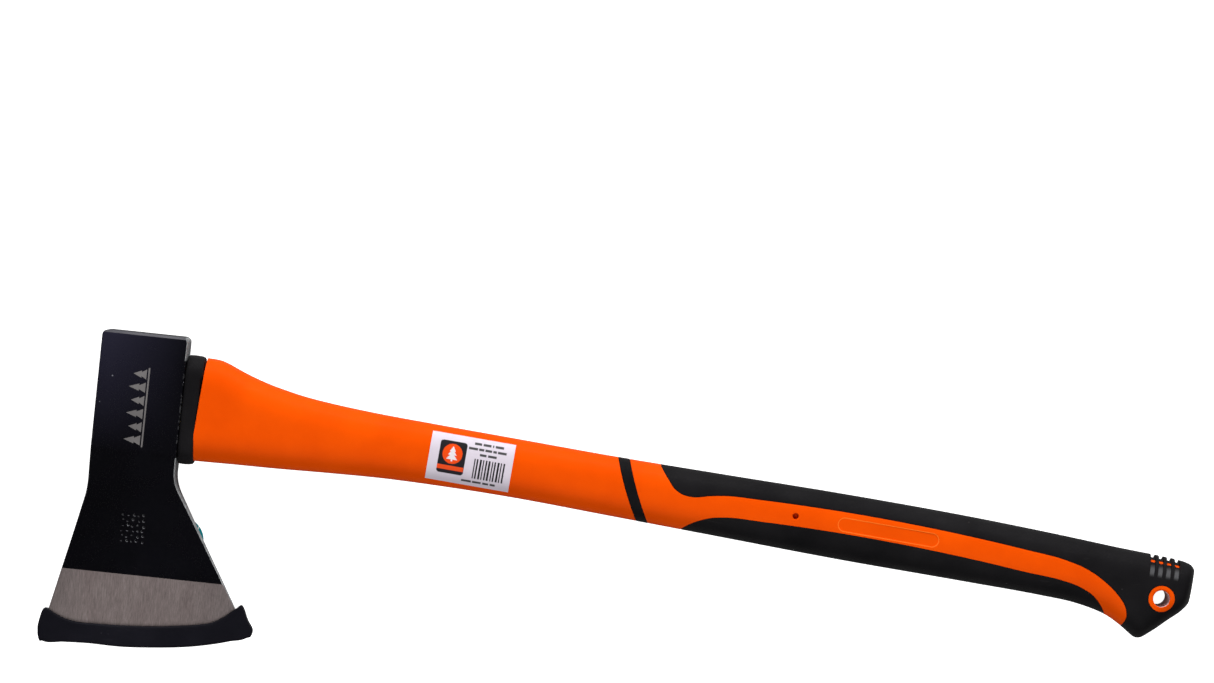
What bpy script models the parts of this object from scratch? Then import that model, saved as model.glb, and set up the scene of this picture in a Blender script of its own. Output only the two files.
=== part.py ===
"""Axe with a forged head and a fibreglass handle, lying on its side.

Metres, +Z up. The origin is on the lower cheek of the head, straight below the centre of
the eye. +X runs along the eye towards the butt, +Y towards the poll, and the cutting edge
faces -Y. The head's own pieces are drawn in that frame. The handle's pieces are drawn
along the core, whose line is turned a little towards the edge, on the empty handle_line.

Every solid starts as a "lens": a grid of points in the plane of the axe with a half
thickness at each, closed above, below and round its rim. Booleans then fit the pieces.
"""

import math

import bmesh
import bpy
import numpy as np
from mathutils import Matrix

MM = 0.001

# Fits. Neighbours that are bonded, moulded or pressed together keep a small gap.
GAP = 0.3 * MM
GUARD_PLAY = 0.5 * MM

# Head, from the centre of the eye
HEAD_THICKNESS = 30.0 * MM
HEAD_WIDTH = 54.0 * MM
POLL_REACH = 45.3 * MM
POLL_CHAMFER = 1.5 * MM
POLL_CORNER = 3.0 * MM
SIDE_CHAMFER = 0.9 * MM
CHEEK_REACH = 29.0 * MM
NECK_REACH = 56.0 * MM
NECK_THICKNESS = 17.0 * MM
NECK_SHOULDER = 2.9 * MM
BLADE_HOLLOW = 1.3 * MM
TOE_KNEE = 55.0 * MM
HEEL_KNEE = 46.5 * MM
KNEE_BLEND = 7.0 * MM
TOE_FLARE = 20.3 * MM
TOE_REACH = 147.4 * MM
HEEL_FLARE = 53.5 * MM
HEEL_REACH = 134.6 * MM
EDGE_RADIUS = 320.0 * MM
EDGE_THICKNESS = 0.5 * MM
BEVEL_HEIGHT = 27.2 * MM  # above the heel corner
BEVEL_THICKNESS = 7.2 * MM

# Eye, which is wider on the toe side so that the cured resin is a wedge
EYE_HEIGHT = 60.0 * MM
CHEEK_WALL = 4.2 * MM
EYE_DRAFT = 1.0 * MM

# Core
CORE_TURN = math.radians(-4.0)
CORE_HEIGHT = 28.0 * MM
CORE_THICKNESS = 15.0 * MM
CORE_TOE_SETBACK = 1.5 * MM
HANDLE_REACH = 672.8 * MM
CORE_BUTT_SETBACK = 37.0 * MM

# Collar
COLLAR_WIDTH = 9.7 * MM
COLLAR_LIP = 4.4 * MM
COLLAR_THICKNESS = 29.0 * MM

# Jacket: plastic over the core. The front points are distances from the eye, the rear
# points distances from the butt, and the swell lies half-way between the two groups.
BACK_FRONT = [(20, 21.9), (38, 22.3), (46, 22.2), (52, 20.6), (59, 18.1), (67, 15.6),
              (77, 13.0), (88, 10.9), (100, 9.1), (120, 7.5), (145, 6.5), (185, 6.1),
              (240, 5.9), (300, 5.7), (365, 6.4)]
BACK_SWELL = 7.5
BACK_REAR = [(139, 7.1), (90, 5.8), (45, 4.1), (20, 3.5), (12, 3.1), (6, 2.3), (2.2, 0.9),
             (0, -1.5)]
BELLY_FRONT = [(20, 16.2), (40, 15.1), (63, 13.2), (89, 11.2), (125, 8.0), (160, 5.3),
               (185, 4.2), (240, 3.1), (300, 3.8), (365, 4.7)]
BELLY_SWELL = 5.9
BELLY_REAR = [(139, 5.8), (93, 6.0), (72, 6.8), (60, 8.6), (51.5, 10.7), (40, 16.1),
              (34, 19.8), (30.5, 21.7), (27.5, 21.6), (21.5, 17.1), (12, 7.9), (3, -1.3),
              (0.8, -4.4), (0, -6.0)]
SIDE_COVER_FRONT = [(20, 6.2), (45, 6.2), (110, 5.7), (220, 5.5), (330, 6.0)]
SIDE_COVER_REAR = [(139, 7.0), (70, 7.3), (0, 7.5)]
SECTION_POWER = 2.5
SECTION_REACH = 21.0 * MM
BUTT_ROUNDING = 6.0 * MM
BUTT_SQUEEZE = 20.0 * MM

# What is let into the jacket
BAND_BACK = 302.5 * MM
BAND_BELLY = 320.5 * MM
BAND_WIDTH = 7.4 * MM
BAND_BULGE = 1.2 * MM
BAND_DEPTH = 1.5 * MM
GRIP_DEPTH = 2.2 * MM
STRIP_BACK_FRONT = [(327, 26), (329.7, 19.7), (335.6, 12.3), (340.9, 6.6), (346.1, 4.1),
                    (353.2, 3.6), (363, 6.0), (373.2, 7.9), (395, 9.2)]
STRIP_BACK_REAR = [(136, 9.1), (108, 7.4), (82, 5.2), (68, 1.9), (56.4, -3.6), (47, -10.2),
                   (40.6, -17.3), (38.7, -23.2), (40.4, -30.0), (45, -38)]
STRIP_BELLY_FRONT = [(343.5, -24), (348.6, -18.3), (352.9, -14.4), (359.1, -10.6),
                     (365.5, -7.8), (375.5, -5.6), (397.4, -4.3)]
STRIP_BELLY_REAR = [(134, -4.8), (105, -6.6), (84, -7.6), (72, -9.6), (60.6, -14.6),
                    (54.4, -20.8), (51.8, -24.6), (48.5, -32)]
PIN_HOLE_DIAMETER = 3.8 * MM
PIN_HOLE_REACH = 418.4 * MM
PIN_HOLE_OFFSET = 3.0 * MM
PAD_LENGTH = 64.0 * MM
PAD_WIDTH = 8.5 * MM
PAD_DEPTH = 0.5 * MM
HANG_BORE = 10.5 * MM
HANG_BOSS = 16.4 * MM
HANG_SETBACK = 19.1 * MM
HANG_OFFSET = -8.3 * MM
SLOT_COUNT = 4
SLOT_PITCH = 5.15 * MM
SLOT_WIDTH = 3.3 * MM
SLOT_DEPTH = 1.5 * MM
SLOT_FROM_BUTT = 20.0 * MM
SLOT_BOTTOM = 4.4 * MM

# Paper
LABEL_LENGTH = 53.0 * MM
LABEL_HEIGHT = 30.0 * MM
LABEL_REACH = 211.4 * MM
LABEL_OFFSET = 1.2 * MM
PAPER = 0.4 * MM
STICKER_DIAMETER = 28.0 * MM
STICKER_OVERHANG = 1.4 * MM
STICKER_BELOW_KNEE = 29.5 * MM

# Edge guard. Its outline is given along the chord of the edge, from the nearer corner of
# the blade, and square to it, from the edge: beyond it is plus.
GUARD_THICKNESS = 8.0 * MM
GUARD_CHAMFER = 0.8 * MM
GUARD_TOP_TOE = [(-2.5, -2.3), (-1.4, -6.5), (1.4, -13.6), (2.8, -14.0), (9, -11.6),
                 (15, -9.6), (22, -8.6), (34, -8.8)]
GUARD_TOP_HEEL = [(-40, -8.2), (-29, -7.9), (-20.5, -8.4), (-13, -11.0), (-6.0, -14.6),
                  (-1.8, -15.4), (1.9, -5.4), (3.6, -2.6), (4.6, -0.6)]
GUARD_FOOT_TOE = [(-2.5, 3.4), (-1.6, 6.6), (0.4, 7.2), (14, 5.4), (28, 4.2), (50, 4.7)]
GUARD_FOOT_HEEL = [(-60, 4.9), (-30, 5.6), (-10, 5.4), (1.5, 4.9), (3.8, 3.6), (4.6, 1.4)]

MID_Z = HEAD_THICKNESS / 2
FAR = 100.0 * MM  # further than any piece reaches from the mid-plane
CROSSING = 13  # grid points across a section of the handle
ROUND_SIDES = 40


# ---------------------------------------------------------------- curves and outlines


def smooth(x, points):
    """A curve through (x, y) points: a cubic on each stretch, with the slope at a point
    taken as the weighted mean of the slopes on either side of it."""
    xs, ys = np.array(points, float).T
    step, rise = np.diff(xs), np.diff(ys)
    slope = rise / step
    inner = (slope[:-1] * step[1:] + slope[1:] * step[:-1]) / (step[:-1] + step[1:])
    tangent = np.concatenate([slope[:1], inner, slope[-1:]])
    x = np.clip(x, xs[0], xs[-1])
    i = np.clip(np.searchsorted(xs, x, side="right") - 1, 0, len(step) - 1)
    t = (x - xs[i]) / step[i]
    return (ys[i] * (1 + 2 * t) * (1 - t) ** 2 + ys[i + 1] * t * t * (3 - 2 * t)
            + step[i] * (tangent[i] * t * (1 - t) ** 2 - tangent[i + 1] * t * t * (1 - t)))


def smooth_path(points, parts=4):
    """Points along a curve through (x, y) points, 'parts' to each stretch."""
    points = np.array(points, float)
    run = np.concatenate([[0], np.cumsum(np.hypot(*np.diff(points, axis=0).T))])
    at = np.concatenate([np.linspace(a, b, parts, endpoint=False)
                         for a, b in zip(run[:-1], run[1:])] + [run[-1:]])
    return np.stack([smooth(at, np.column_stack([run, points[:, i]])) for i in (0, 1)], 1)


def ramp(s, blend):
    """Zero before 0 and s after it, joined by an arc of parabola 'blend' to each side."""
    return np.where(s < -blend, 0, np.where(s > blend, s, (s + blend) ** 2 / (4 * blend)))


def along_handle(front, rear, swell=None):
    """Points in metres of a line given from the eye and then from the butt."""
    points = [(x * MM, y * MM) for x, y in front]
    if swell is not None:
        middle = (front[-1][0] * MM + HANDLE_REACH - rear[0][0] * MM) / 2
        points.append((middle, swell * MM))
    return points + [(HANDLE_REACH - x * MM, y * MM) for x, y in rear]


# ---------------------------------------------------------------- objects and booleans


def material(name, colour, roughness, metallic=0.0):
    made = bpy.data.materials.new(name)
    made.use_nodes = True
    shader = made.node_tree.nodes["Principled BSDF"]
    shader.inputs["Base Color"].default_value = (*colour, 1)
    shader.inputs["Roughness"].default_value = roughness
    shader.inputs["Metallic"].default_value = metallic
    return made


def lens(name, x, y, half, parent=None):
    """A closed solid over a grid of points: +half above the mid-plane and -half below it.
    Points where the half thickness is nothing are shared by both skins."""
    across = np.diff(x, axis=1)[:-1] * np.diff(y, axis=0)[:, :-1]
    along = np.diff(x, axis=0)[:, :-1] * np.diff(y, axis=1)[:-1]
    if np.sum(along - across) < 0:
        x, y, half = x[::-1], y[::-1], half[::-1]
    rows, columns = x.shape
    top = np.stack([x, y, half], -1).reshape(-1, 3)
    points = np.concatenate([top, top * (1, 1, -1)])
    index = np.arange(rows * columns).reshape(rows, columns)
    corners = [index[:-1, :-1], index[1:, :-1], index[1:, 1:], index[:-1, 1:]]
    skin = np.stack([corner.ravel() for corner in corners], 1)
    rim = np.concatenate([index[0, :-1], index[:-1, -1], index[-1, :0:-1], index[:0:-1, 0]])
    ahead = np.roll(rim, -1)
    lower = rows * columns
    wall = np.stack([rim, ahead, ahead + lower, rim + lower], 1)
    faces = np.concatenate([skin, skin[:, ::-1] + lower, wall])
    return solid(name, points.tolist(), faces.tolist(), parent)


def solid(name, points, faces, parent=None):
    """An object from points and outward faces, with doubled points merged."""
    mesh = bpy.data.meshes.new(name)
    mesh.from_pydata(points, [], faces)
    made = bpy.data.objects.new(name, mesh)
    bpy.context.scene.collection.objects.link(made)
    tidy(mesh)
    made.parent = parent
    if parent is None:
        made.location.z = MID_Z
    return made


def tidy(mesh):
    """Merges doubled points, and shades the mesh smooth away from its sharp edges."""
    work = bmesh.new()
    work.from_mesh(mesh)
    bmesh.ops.remove_doubles(work, verts=work.verts, dist=0.002 * MM)
    bmesh.ops.dissolve_degenerate(work, edges=work.edges, dist=0.002 * MM)
    work.to_mesh(mesh)
    work.free()
    mesh.shade_smooth()
    mesh.set_sharp_from_angle(angle=math.radians(40))


def prism(name, outlines, parent=None, bottom=-FAR, top=FAR):
    """A solid between two heights over an outline, or one over each of several. An outline
    runs round once, either way."""
    if np.ndim(outlines[0][0]) == 0:
        outlines = [outlines]
    points, faces = [], []
    for outline in outlines:
        flat = np.array(outline, float)
        ahead_x, ahead_y = np.roll(flat, -1, axis=0).T
        if np.sum(flat[:, 0] * ahead_y - ahead_x * flat[:, 1]) < 0:
            flat = flat[::-1]
        count, first = len(flat), len(points)
        points += [(px, py, z) for z in (bottom, top) for px, py in flat.tolist()]
        ring = np.arange(first, first + count)
        ahead = np.roll(ring, -1)
        faces += np.stack([ring, ahead, ahead + count, ring + count], 1).tolist()
        faces += [ring[::-1].tolist(), (ring + count).tolist()]
    return solid(name, points, faces, parent)


def round_outline(centre, diameter, sides=ROUND_SIDES):
    turn = (np.arange(sides) + 0.37) * 2 * math.pi / sides
    return np.column_stack([centre[0] + diameter / 2 * np.cos(turn),
                            centre[1] + diameter / 2 * np.sin(turn)])


def helper(made):
    made.hide_render = True
    made.display_type = "WIRE"
    return made


def boolean(target, operation, tool, solver="EXACT"):
    modifier = target.modifiers.new(operation.lower() + "_" + tool.name, "BOOLEAN")
    modifier.operation = operation
    modifier.object = helper(tool)
    modifier.solver = solver


def cut(target, *tools, solver="EXACT"):
    for tool in tools:
        boolean(target, "DIFFERENCE", tool, solver)


def keep_inside(target, tool, solver="EXACT"):
    boolean(target, "INTERSECT", tool, solver)


# ---------------------------------------------------------------- head


def toe_side(y):
    """The head's outline on the toe side: straight, then a straight flare from the knee."""
    slope = TOE_FLARE / (TOE_REACH - TOE_KNEE)
    return -HEAD_WIDTH / 2 - slope * ramp(-y - TOE_KNEE, KNEE_BLEND)


def heel_side(y):
    slope = HEEL_FLARE / (HEEL_REACH - HEEL_KNEE)
    return HEAD_WIDTH / 2 + slope * ramp(-y - HEEL_KNEE, KNEE_BLEND)


TOE = np.array([-HEAD_WIDTH / 2 - TOE_FLARE, -TOE_REACH])
HEEL = np.array([HEAD_WIDTH / 2 + HEEL_FLARE, -HEEL_REACH])
CHORD = float(np.hypot(*(HEEL - TOE)))
ALONG = (HEEL - TOE) / CHORD
OUTWARD = np.array([ALONG[1], -ALONG[0]])
BEVEL_Y = -HEEL_REACH + BEVEL_HEIGHT


def bulge(a):
    """How far the edge's arc stands out beyond its chord, at a distance along it."""
    a = np.clip(a, 0, CHORD)
    rise = math.sqrt(EDGE_RADIUS**2 - CHORD**2 / 4)
    return np.sqrt(EDGE_RADIUS**2 - (a - CHORD / 2) ** 2) - rise


def edge_y(x):
    """The cutting edge's y at x: the arc of EDGE_RADIUS through the two corners."""
    rise = math.sqrt(EDGE_RADIUS**2 - CHORD**2 / 4)
    centre = (TOE + HEEL) / 2 - OUTWARD * rise
    return centre[1] - np.sqrt(EDGE_RADIUS**2 - (x - centre[0]) ** 2)


def blade_half(x, y):
    """Half the blade's thickness in the ground bevel, which is a straight taper."""
    share = np.clip((BEVEL_Y - y) / (BEVEL_Y - edge_y(x)), 0, 1)
    return (BEVEL_THICKNESS + (EDGE_THICKNESS - BEVEL_THICKNESS) * share) / 2


def head_half(y):
    """Half the head's thickness above the bevel: flat cheeks, then a hollow taper."""
    blade_middle = (NECK_REACH - BEVEL_Y) / 2
    taper = [(CHEEK_REACH, HEAD_THICKNESS / 2),
             ((CHEEK_REACH + NECK_REACH) / 2, HEAD_THICKNESS / 2 - NECK_SHOULDER),
             (NECK_REACH, NECK_THICKNESS / 2),
             (blade_middle, (NECK_THICKNESS + BEVEL_THICKNESS) / 4 - BLADE_HOLLOW),
             (-BEVEL_Y, BEVEL_THICKNESS / 2)]
    below = smooth(-y, taper)
    chamfer = np.clip(POLL_CHAMFER - (POLL_REACH - y), 0, POLL_CHAMFER)
    return np.where(-y < CHEEK_REACH, HEAD_THICKNESS / 2, below) - chamfer


def corner_inset(y):
    """How far the sides come in where the poll's corners are rounded."""
    above = np.clip(y - (POLL_REACH - POLL_CORNER), 0, POLL_CORNER)
    return POLL_CORNER - np.sqrt(POLL_CORNER**2 - above**2)


def head_rows():
    """The y of each straight row of the head, from the poll down to the bevel."""
    corner = POLL_REACH - POLL_CORNER * (1 - np.sin(np.radians([90, 60, 35, 15, 0])))
    neck = -np.linspace(CHEEK_REACH, NECK_REACH, 9)
    blade = -np.linspace(NECK_REACH, -BEVEL_Y, 9)[1:]
    return np.concatenate([corner[:3], [POLL_REACH - POLL_CHAMFER], corner[3:], [0], neck, blade])


def chamfered_row(left, right, half, share):
    """The x and half thickness along a row whose two ends are chamfered."""
    chamfer = min(SIDE_CHAMFER, half / 2)
    inward = np.zeros(len(share))
    inward[1], inward[-2] = chamfer, -chamfer
    lowered = np.zeros(len(share))
    lowered[[0, -1]] = chamfer
    return left + (right - left) * share + inward, half - lowered


def head_blank():
    """Straight rows down to the bevel, then rows that bend into the arc of the edge."""
    share = np.concatenate([[0], np.linspace(0, 1, 13), [1]])
    grid_x, grid_y, grid_half = [], [], []
    for y in head_rows():
        inset = corner_inset(y)
        x, half = chamfered_row(toe_side(y) + inset, heel_side(y) - inset,
                                float(head_half(y)), share)
        grid_x.append(x)
        grid_y.append(np.full(len(share), y))
        grid_half.append(half)
    for step in np.linspace(0, 1, 6)[1:]:
        left, right = (side(BEVEL_Y + (corner[1] - BEVEL_Y) * step)
                       for side, corner in ((toe_side, TOE), (heel_side, HEEL)))
        thickness = BEVEL_THICKNESS + (EDGE_THICKNESS - BEVEL_THICKNESS) * step
        x, half = chamfered_row(left, right, thickness / 2, share)
        edge_x = TOE[0] + (HEEL[0] - TOE[0]) * share
        grid_x.append(x)
        grid_y.append(BEVEL_Y + (edge_y(edge_x) - BEVEL_Y) * step)
        grid_half.append(half)
    return lens("axe_head", np.array(grid_x), np.array(grid_y), np.array(grid_half))


def eye_solid(name, shrink, reach):
    """The eye as a solid plug: superellipse sections along X, wider towards the toe side,
    smaller all round by 'shrink' and 'reach' long to each side of its middle."""
    turn = np.linspace(0, 2 * math.pi, ROUND_SIDES, endpoint=False)
    up, out = (np.sign(v) * abs(v) ** (2 / SECTION_POWER) for v in (np.cos(turn), np.sin(turn)))
    points = []
    for x in (-reach, reach):
        draft = -EYE_DRAFT * x / (HEAD_WIDTH / 2)
        height = EYE_HEIGHT / 2 + draft - shrink
        width = HEAD_THICKNESS / 2 - CHEEK_WALL + draft / 2 - shrink
        points.append(np.column_stack([np.full(ROUND_SIDES, x), height * up, width * out]))
    ring = np.arange(ROUND_SIDES)
    ahead = np.roll(ring, -1)
    faces = np.stack([ring, ahead, ahead + ROUND_SIDES, ring + ROUND_SIDES], 1).tolist()
    faces += [ring[::-1].tolist(), (ring + ROUND_SIDES).tolist()]
    return solid(name, np.concatenate(points).tolist(), faces)


# ---------------------------------------------------------------- handle


def superellipse_share(count):
    """Shares from -1 to 1 across a section, spaced so that its round ends are even."""
    turn = np.linspace(-math.pi / 2, math.pi / 2, count)
    return np.sign(turn) * np.abs(np.sin(turn)) ** (2 / SECTION_POWER)


def section_half(height, reach, thickness, share):
    """Half thickness across a section: flat, then falling as a superellipse to nothing
    within 'reach' of the section's edge."""
    inward = height * (1 - np.abs(share))
    near = 1 - np.minimum(inward / np.minimum(reach, height), 1)
    return thickness * (1 - near**SECTION_POWER) ** (1 / SECTION_POWER)


def handle_outline(x):
    """Back, belly and half thickness of the handle's outside at distances from the eye."""
    back = CORE_HEIGHT / 2 + smooth(x, along_handle(BACK_FRONT, BACK_REAR, BACK_SWELL))
    belly = CORE_HEIGHT / 2 + smooth(x, along_handle(BELLY_FRONT, BELLY_REAR, BELLY_SWELL))
    side = CORE_THICKNESS / 2 + smooth(x, along_handle(SIDE_COVER_FRONT, SIDE_COVER_REAR))
    return back, -belly, side


def handle_stations():
    """Distances from the eye at which sections are drawn, closer where the outline bends."""
    rear = HANDLE_REACH - np.array([139, 110, 90, 75, 65, 58, 51, 45, 39.5, 35, 31.5, 29,
                                    26, 21.5, 16, 11, 7, 4.5, 2.6, 1.2, 0.4, 0]) * MM
    front = np.array([20, 30, 38, 44, 50, 56, 63, 72, 84, 100, 120, 150, 190, 240, 300,
                      365]) * MM
    middle = np.linspace(front[-1], rear[0], 4)[1:-1]
    return np.concatenate([front, middle, rear])


def handle_skin(name, inset, line):
    """The handle's outside, or a skin 'inset' inside it: sections square to the core, which
    close to nothing at the butt. The last BUTT_SQUEEZE is shortened by the inset."""
    x = handle_stations()
    back, belly, side = handle_outline(x)
    lean_back = np.sqrt(1 + np.minimum(np.gradient(back, x) ** 2, 1))
    lean_belly = np.sqrt(1 + np.minimum(np.gradient(belly, x) ** 2, 1))
    back, belly = back - inset * lean_back, belly + inset * lean_belly
    moved = x - inset * np.clip(1 - (HANDLE_REACH - x) / BUTT_SQUEEZE, 0, 1)
    near = 1 - np.clip((HANDLE_REACH - inset - moved) / (BUTT_ROUNDING - inset), 0, 1)
    ending = np.sqrt(1 - near**2)
    share = superellipse_share(CROSSING)
    middle, height = (back + belly) / 2, (back - belly) / 2
    grid_x = np.repeat(moved[:, None], CROSSING, 1)
    grid_y = middle[:, None] + height[:, None] * share
    grid_half = section_half(height[:, None], SECTION_REACH - inset, side[:, None] - inset, share)
    return lens(name, grid_x, grid_y, grid_half * ending[:, None], line)


def core_solid(name, grow, start, end, line):
    """The core bar: one superellipse section all along, larger by 'grow' for its channel."""
    share = superellipse_share(CROSSING)
    height, thickness = CORE_HEIGHT / 2 + grow, CORE_THICKNESS / 2 + grow
    x = np.array([start, (start + end) / 2, end])
    half = section_half(height, height, thickness, share)
    return lens(name, np.repeat(x[:, None], CROSSING, 1), np.tile(height * share, (3, 1)),
                np.tile(half, (3, 1)), line)


def shifted(path, distance):
    """A path moved sideways: to its left where the distance is positive."""
    run = np.gradient(path, axis=0)
    run /= np.hypot(*run.T)[:, None]
    return path + distance * np.column_stack([-run[:, 1], run[:, 0]])


def strip_edge(front, rear):
    return smooth_path(along_handle(front, rear), 3)


def back_panel(grow):
    """The plane outline of the back panel and butt, with its strip edge moved by 'grow'."""
    edge = shifted(strip_edge(STRIP_BACK_FRONT, STRIP_BACK_REAR), -grow)
    reach = HANDLE_REACH + FAR
    return np.concatenate([edge, [(edge[-1, 0], -FAR), (reach, -FAR), (reach, FAR),
                                  (edge[0, 0], FAR)]])


def belly_panel(grow):
    edge = shifted(strip_edge(STRIP_BELLY_FRONT, STRIP_BELLY_REAR), grow)
    return np.concatenate([edge, [(edge[-1, 0], -FAR), (edge[0, 0], -FAR)]])


def band_outline(grow):
    """The slanted band: two arcs of parabola between the back and the belly, run on a
    little past both."""
    back, belly = (float(side[0]) for side in handle_outline(np.array([BAND_BACK]))[:2])
    share = np.linspace(-0.4, 1.4, 25)
    y = belly + (back - belly) * share
    front = BAND_BELLY + (BAND_BACK - BAND_BELLY) * share - BAND_BULGE * 4 * share * (1 - share)
    return np.concatenate([np.column_stack([front - grow, y]),
                           np.column_stack([front + BAND_WIDTH + grow, y])[::-1]])


def stadium(centre, length, width):
    """A long outline with half-round ends."""
    turn = np.linspace(-math.pi / 2, math.pi / 2, 9)
    arc = np.column_stack([np.cos(turn), np.sin(turn)]) * width / 2
    reach = (length - width) / 2
    return np.concatenate([arc + (centre[0] + reach, centre[1]),
                           -arc + (centre[0] - reach, centre[1])])


# ---------------------------------------------------------------- the pieces


def build_head():
    head = head_blank()
    cut(head, eye_solid("eye_cutter", 0.0, HEAD_WIDTH))
    return head


def build_bond(line):
    bond = eye_solid("eye_bond", GAP, HEAD_WIDTH / 2)
    cut(bond, core_solid("bond_channel", GAP, -HEAD_WIDTH, HEAD_WIDTH, line))
    return bond


def build_collar(line):
    share = superellipse_share(CROSSING)
    height = EYE_HEIGHT / 2 + COLLAR_LIP
    start = HEAD_WIDTH / 2 + GAP
    x = start + COLLAR_WIDTH * np.array([0, 0.12, 0.5, 0.88, 1])
    swell = np.array([-0.6, 0, 0.2, -0.2, -1.0]) * MM
    tall = height + swell
    grid_half = section_half(tall[:, None], COLLAR_THICKNESS / 2, COLLAR_THICKNESS / 2, share)
    collar = lens("eye_collar", np.repeat(x[:, None], CROSSING, 1), tall[:, None] * share,
                  grid_half)
    cut(collar, core_solid("collar_channel", GAP, 0, HEAD_WIDTH, line))
    return collar


def build_jacket(line, hang, core_end):
    jacket = handle_skin("handle_jacket", 0, line)
    neck = HEAD_WIDTH / 2 + COLLAR_WIDTH + 2 * GAP
    neck_cut = prism("neck_cutter", [(-FAR, -FAR), (neck, -FAR), (neck, FAR), (-FAR, FAR)])
    groove = prism("band_groove", band_outline(GAP), line)
    cut(groove, handle_skin("band_floor", BAND_DEPTH + GAP, line))
    pocket_floor = handle_skin("pocket_floor", GRIP_DEPTH + GAP, line)
    back_pocket = prism("back_pocket", back_panel(GAP), line)
    cut(back_pocket, pocket_floor, prism("boss_keeper", round_outline(hang, HANG_BOSS), line))
    belly_pocket = prism("belly_pocket", belly_panel(GAP), line)
    cut(belly_pocket, pocket_floor)
    pad_x = (PIN_HOLE_REACH + HANDLE_REACH - STRIP_BACK_REAR[0][0] * MM) / 2
    pad_top = float(handle_outline(np.array([pad_x]))[2][0])
    pad = prism("pad_cutter", stadium((pad_x, PIN_HOLE_OFFSET), PAD_LENGTH, PAD_WIDTH), line,
                pad_top - PAD_DEPTH)
    pin = prism("pin_cutter", round_outline((PIN_HOLE_REACH, PIN_HOLE_OFFSET),
                                            PIN_HOLE_DIAMETER, 20), line, 0.0)
    bore = prism("hang_cutter", round_outline(hang, HANG_BORE), line)
    channel = core_solid("core_channel", GAP, 0, core_end + GAP, line)
    # The pockets' skins run close to the bore and the pad, which EXACT leaves torn.
    cut(jacket, neck_cut, channel, bore, pin, pad, groove, back_pocket, belly_pocket,
        solver="MANIFOLD")
    return jacket


def build_band(line):
    band = handle_skin("ring_band", 0, line)
    keep_inside(band, prism("band_keeper", band_outline(0), line))
    cut(band, handle_skin("band_bed", BAND_DEPTH, line))
    return band


def build_grips(line, hang):
    bed = handle_skin("grip_bed", GRIP_DEPTH, line)
    back = handle_skin("grip_back", 0, line)
    keep_inside(back, prism("back_keeper", back_panel(0), line), "MANIFOLD")
    cut(back, bed, prism("boss_clearance", round_outline(hang, HANG_BOSS + 2 * GAP), line),
        solver="MANIFOLD")
    slots = []
    for number in range(SLOT_COUNT):
        middle = HANDLE_REACH - SLOT_FROM_BUTT - (number - (SLOT_COUNT - 1) / 2) * SLOT_PITCH
        left, right = middle - SLOT_WIDTH / 2, middle + SLOT_WIDTH / 2
        slots.append([(left, SLOT_BOTTOM), (right, SLOT_BOTTOM), (right, FAR), (left, FAR)])
    slot_cutter = prism("slot_cutter", slots, line)
    cut(slot_cutter, handle_skin("slot_floor", SLOT_DEPTH, line), solver="MANIFOLD")
    cut(back, slot_cutter, solver="MANIFOLD")
    belly = handle_skin("grip_belly", 0, line)
    keep_inside(belly, prism("belly_keeper", belly_panel(0), line))
    cut(belly, bed)
    return back, belly


def build_label(line):
    label = handle_skin("handle_label", -GAP - PAPER, line)
    left, right = LABEL_REACH - LABEL_LENGTH / 2, LABEL_REACH + LABEL_LENGTH / 2
    low, high = LABEL_OFFSET - LABEL_HEIGHT / 2, LABEL_OFFSET + LABEL_HEIGHT / 2
    keep_inside(label, prism("label_keeper", [(left, low), (right, low), (right, high),
                                              (left, high)], line, 0.0))
    cut(label, handle_skin("label_bed", -GAP, line))
    return label


def build_sticker():
    """A disc flat under the blade's lower face, standing out past the heel side."""
    slope = HEEL_FLARE / (HEEL_REACH - HEEL_KNEE)
    outward = np.array([1, slope]) / math.hypot(1, slope)
    side_y = -HEEL_KNEE - STICKER_BELOW_KNEE
    inward = STICKER_DIAMETER / 2 - STICKER_OVERHANG
    centre = np.array([float(heel_side(side_y)), side_y]) - inward * outward
    reach = STICKER_DIAMETER / 2
    upper, lower = (float(head_half(centre[1] + d)) for d in (reach, -reach))
    disc = prism("blade_sticker", round_outline((0, 0), STICKER_DIAMETER), None, -PAPER, 0.0)
    lean = math.atan2(upper - lower, 2 * reach)
    depth = (upper + lower) / 2 + GAP
    disc.matrix_world = (Matrix.Translation((centre[0], centre[1], MID_Z - depth))
                         @ Matrix.Rotation(-lean, 4, "X"))
    return disc


def guard_line(toe_points, heel_points, a):
    """Distance square to the chord of one side of the guard's outline."""
    points = [(x * MM, y * MM) for x, y in toe_points]
    points += [(CHORD + x * MM, y * MM) for x, y in heel_points]
    return smooth(a, points) + bulge(a)


def build_guard():
    stops = np.array([-2.5, -1.4, 0, 1.4, 2.8, 6, 9, 12, 15, 22, 28, 34, 42]) * MM
    ends = CHORD + np.array([-50, -40, -34, -29, -24.5, -20.5, -17, -13, -9.5, -6, -3.5,
                             -1.8, 0, 1.9, 3.6, 4.6]) * MM
    a = np.concatenate([stops, np.linspace(stops[-1], ends[0], 4)[1:-1], ends])
    top = guard_line(GUARD_TOP_TOE, GUARD_TOP_HEEL, a)
    foot = guard_line(GUARD_FOOT_TOE, GUARD_FOOT_HEEL, a)
    chamfer = GUARD_CHAMFER * np.array([[0], [1], [-1], [0]])
    b = np.stack([top, top, foot, foot]) + chamfer
    half = GUARD_THICKNESS / 2 - GUARD_CHAMFER + np.abs(chamfer)
    grid_a = np.tile(a, (4, 1))
    x = TOE[0] + grid_a * ALONG[0] + b * OUTWARD[0]
    y = TOE[1] + grid_a * ALONG[1] + b * OUTWARD[1]
    guard = lens("blade_guard", x, y, half + np.zeros(x.shape))
    cut(guard, slot_solid())
    return guard


def drift(run):
    """How far a side of the blade goes along the chord for each unit of depth behind the
    edge, where 'run' is the way it leaves its corner."""
    return float(run @ ALONG / -(run @ OUTWARD))


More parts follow.
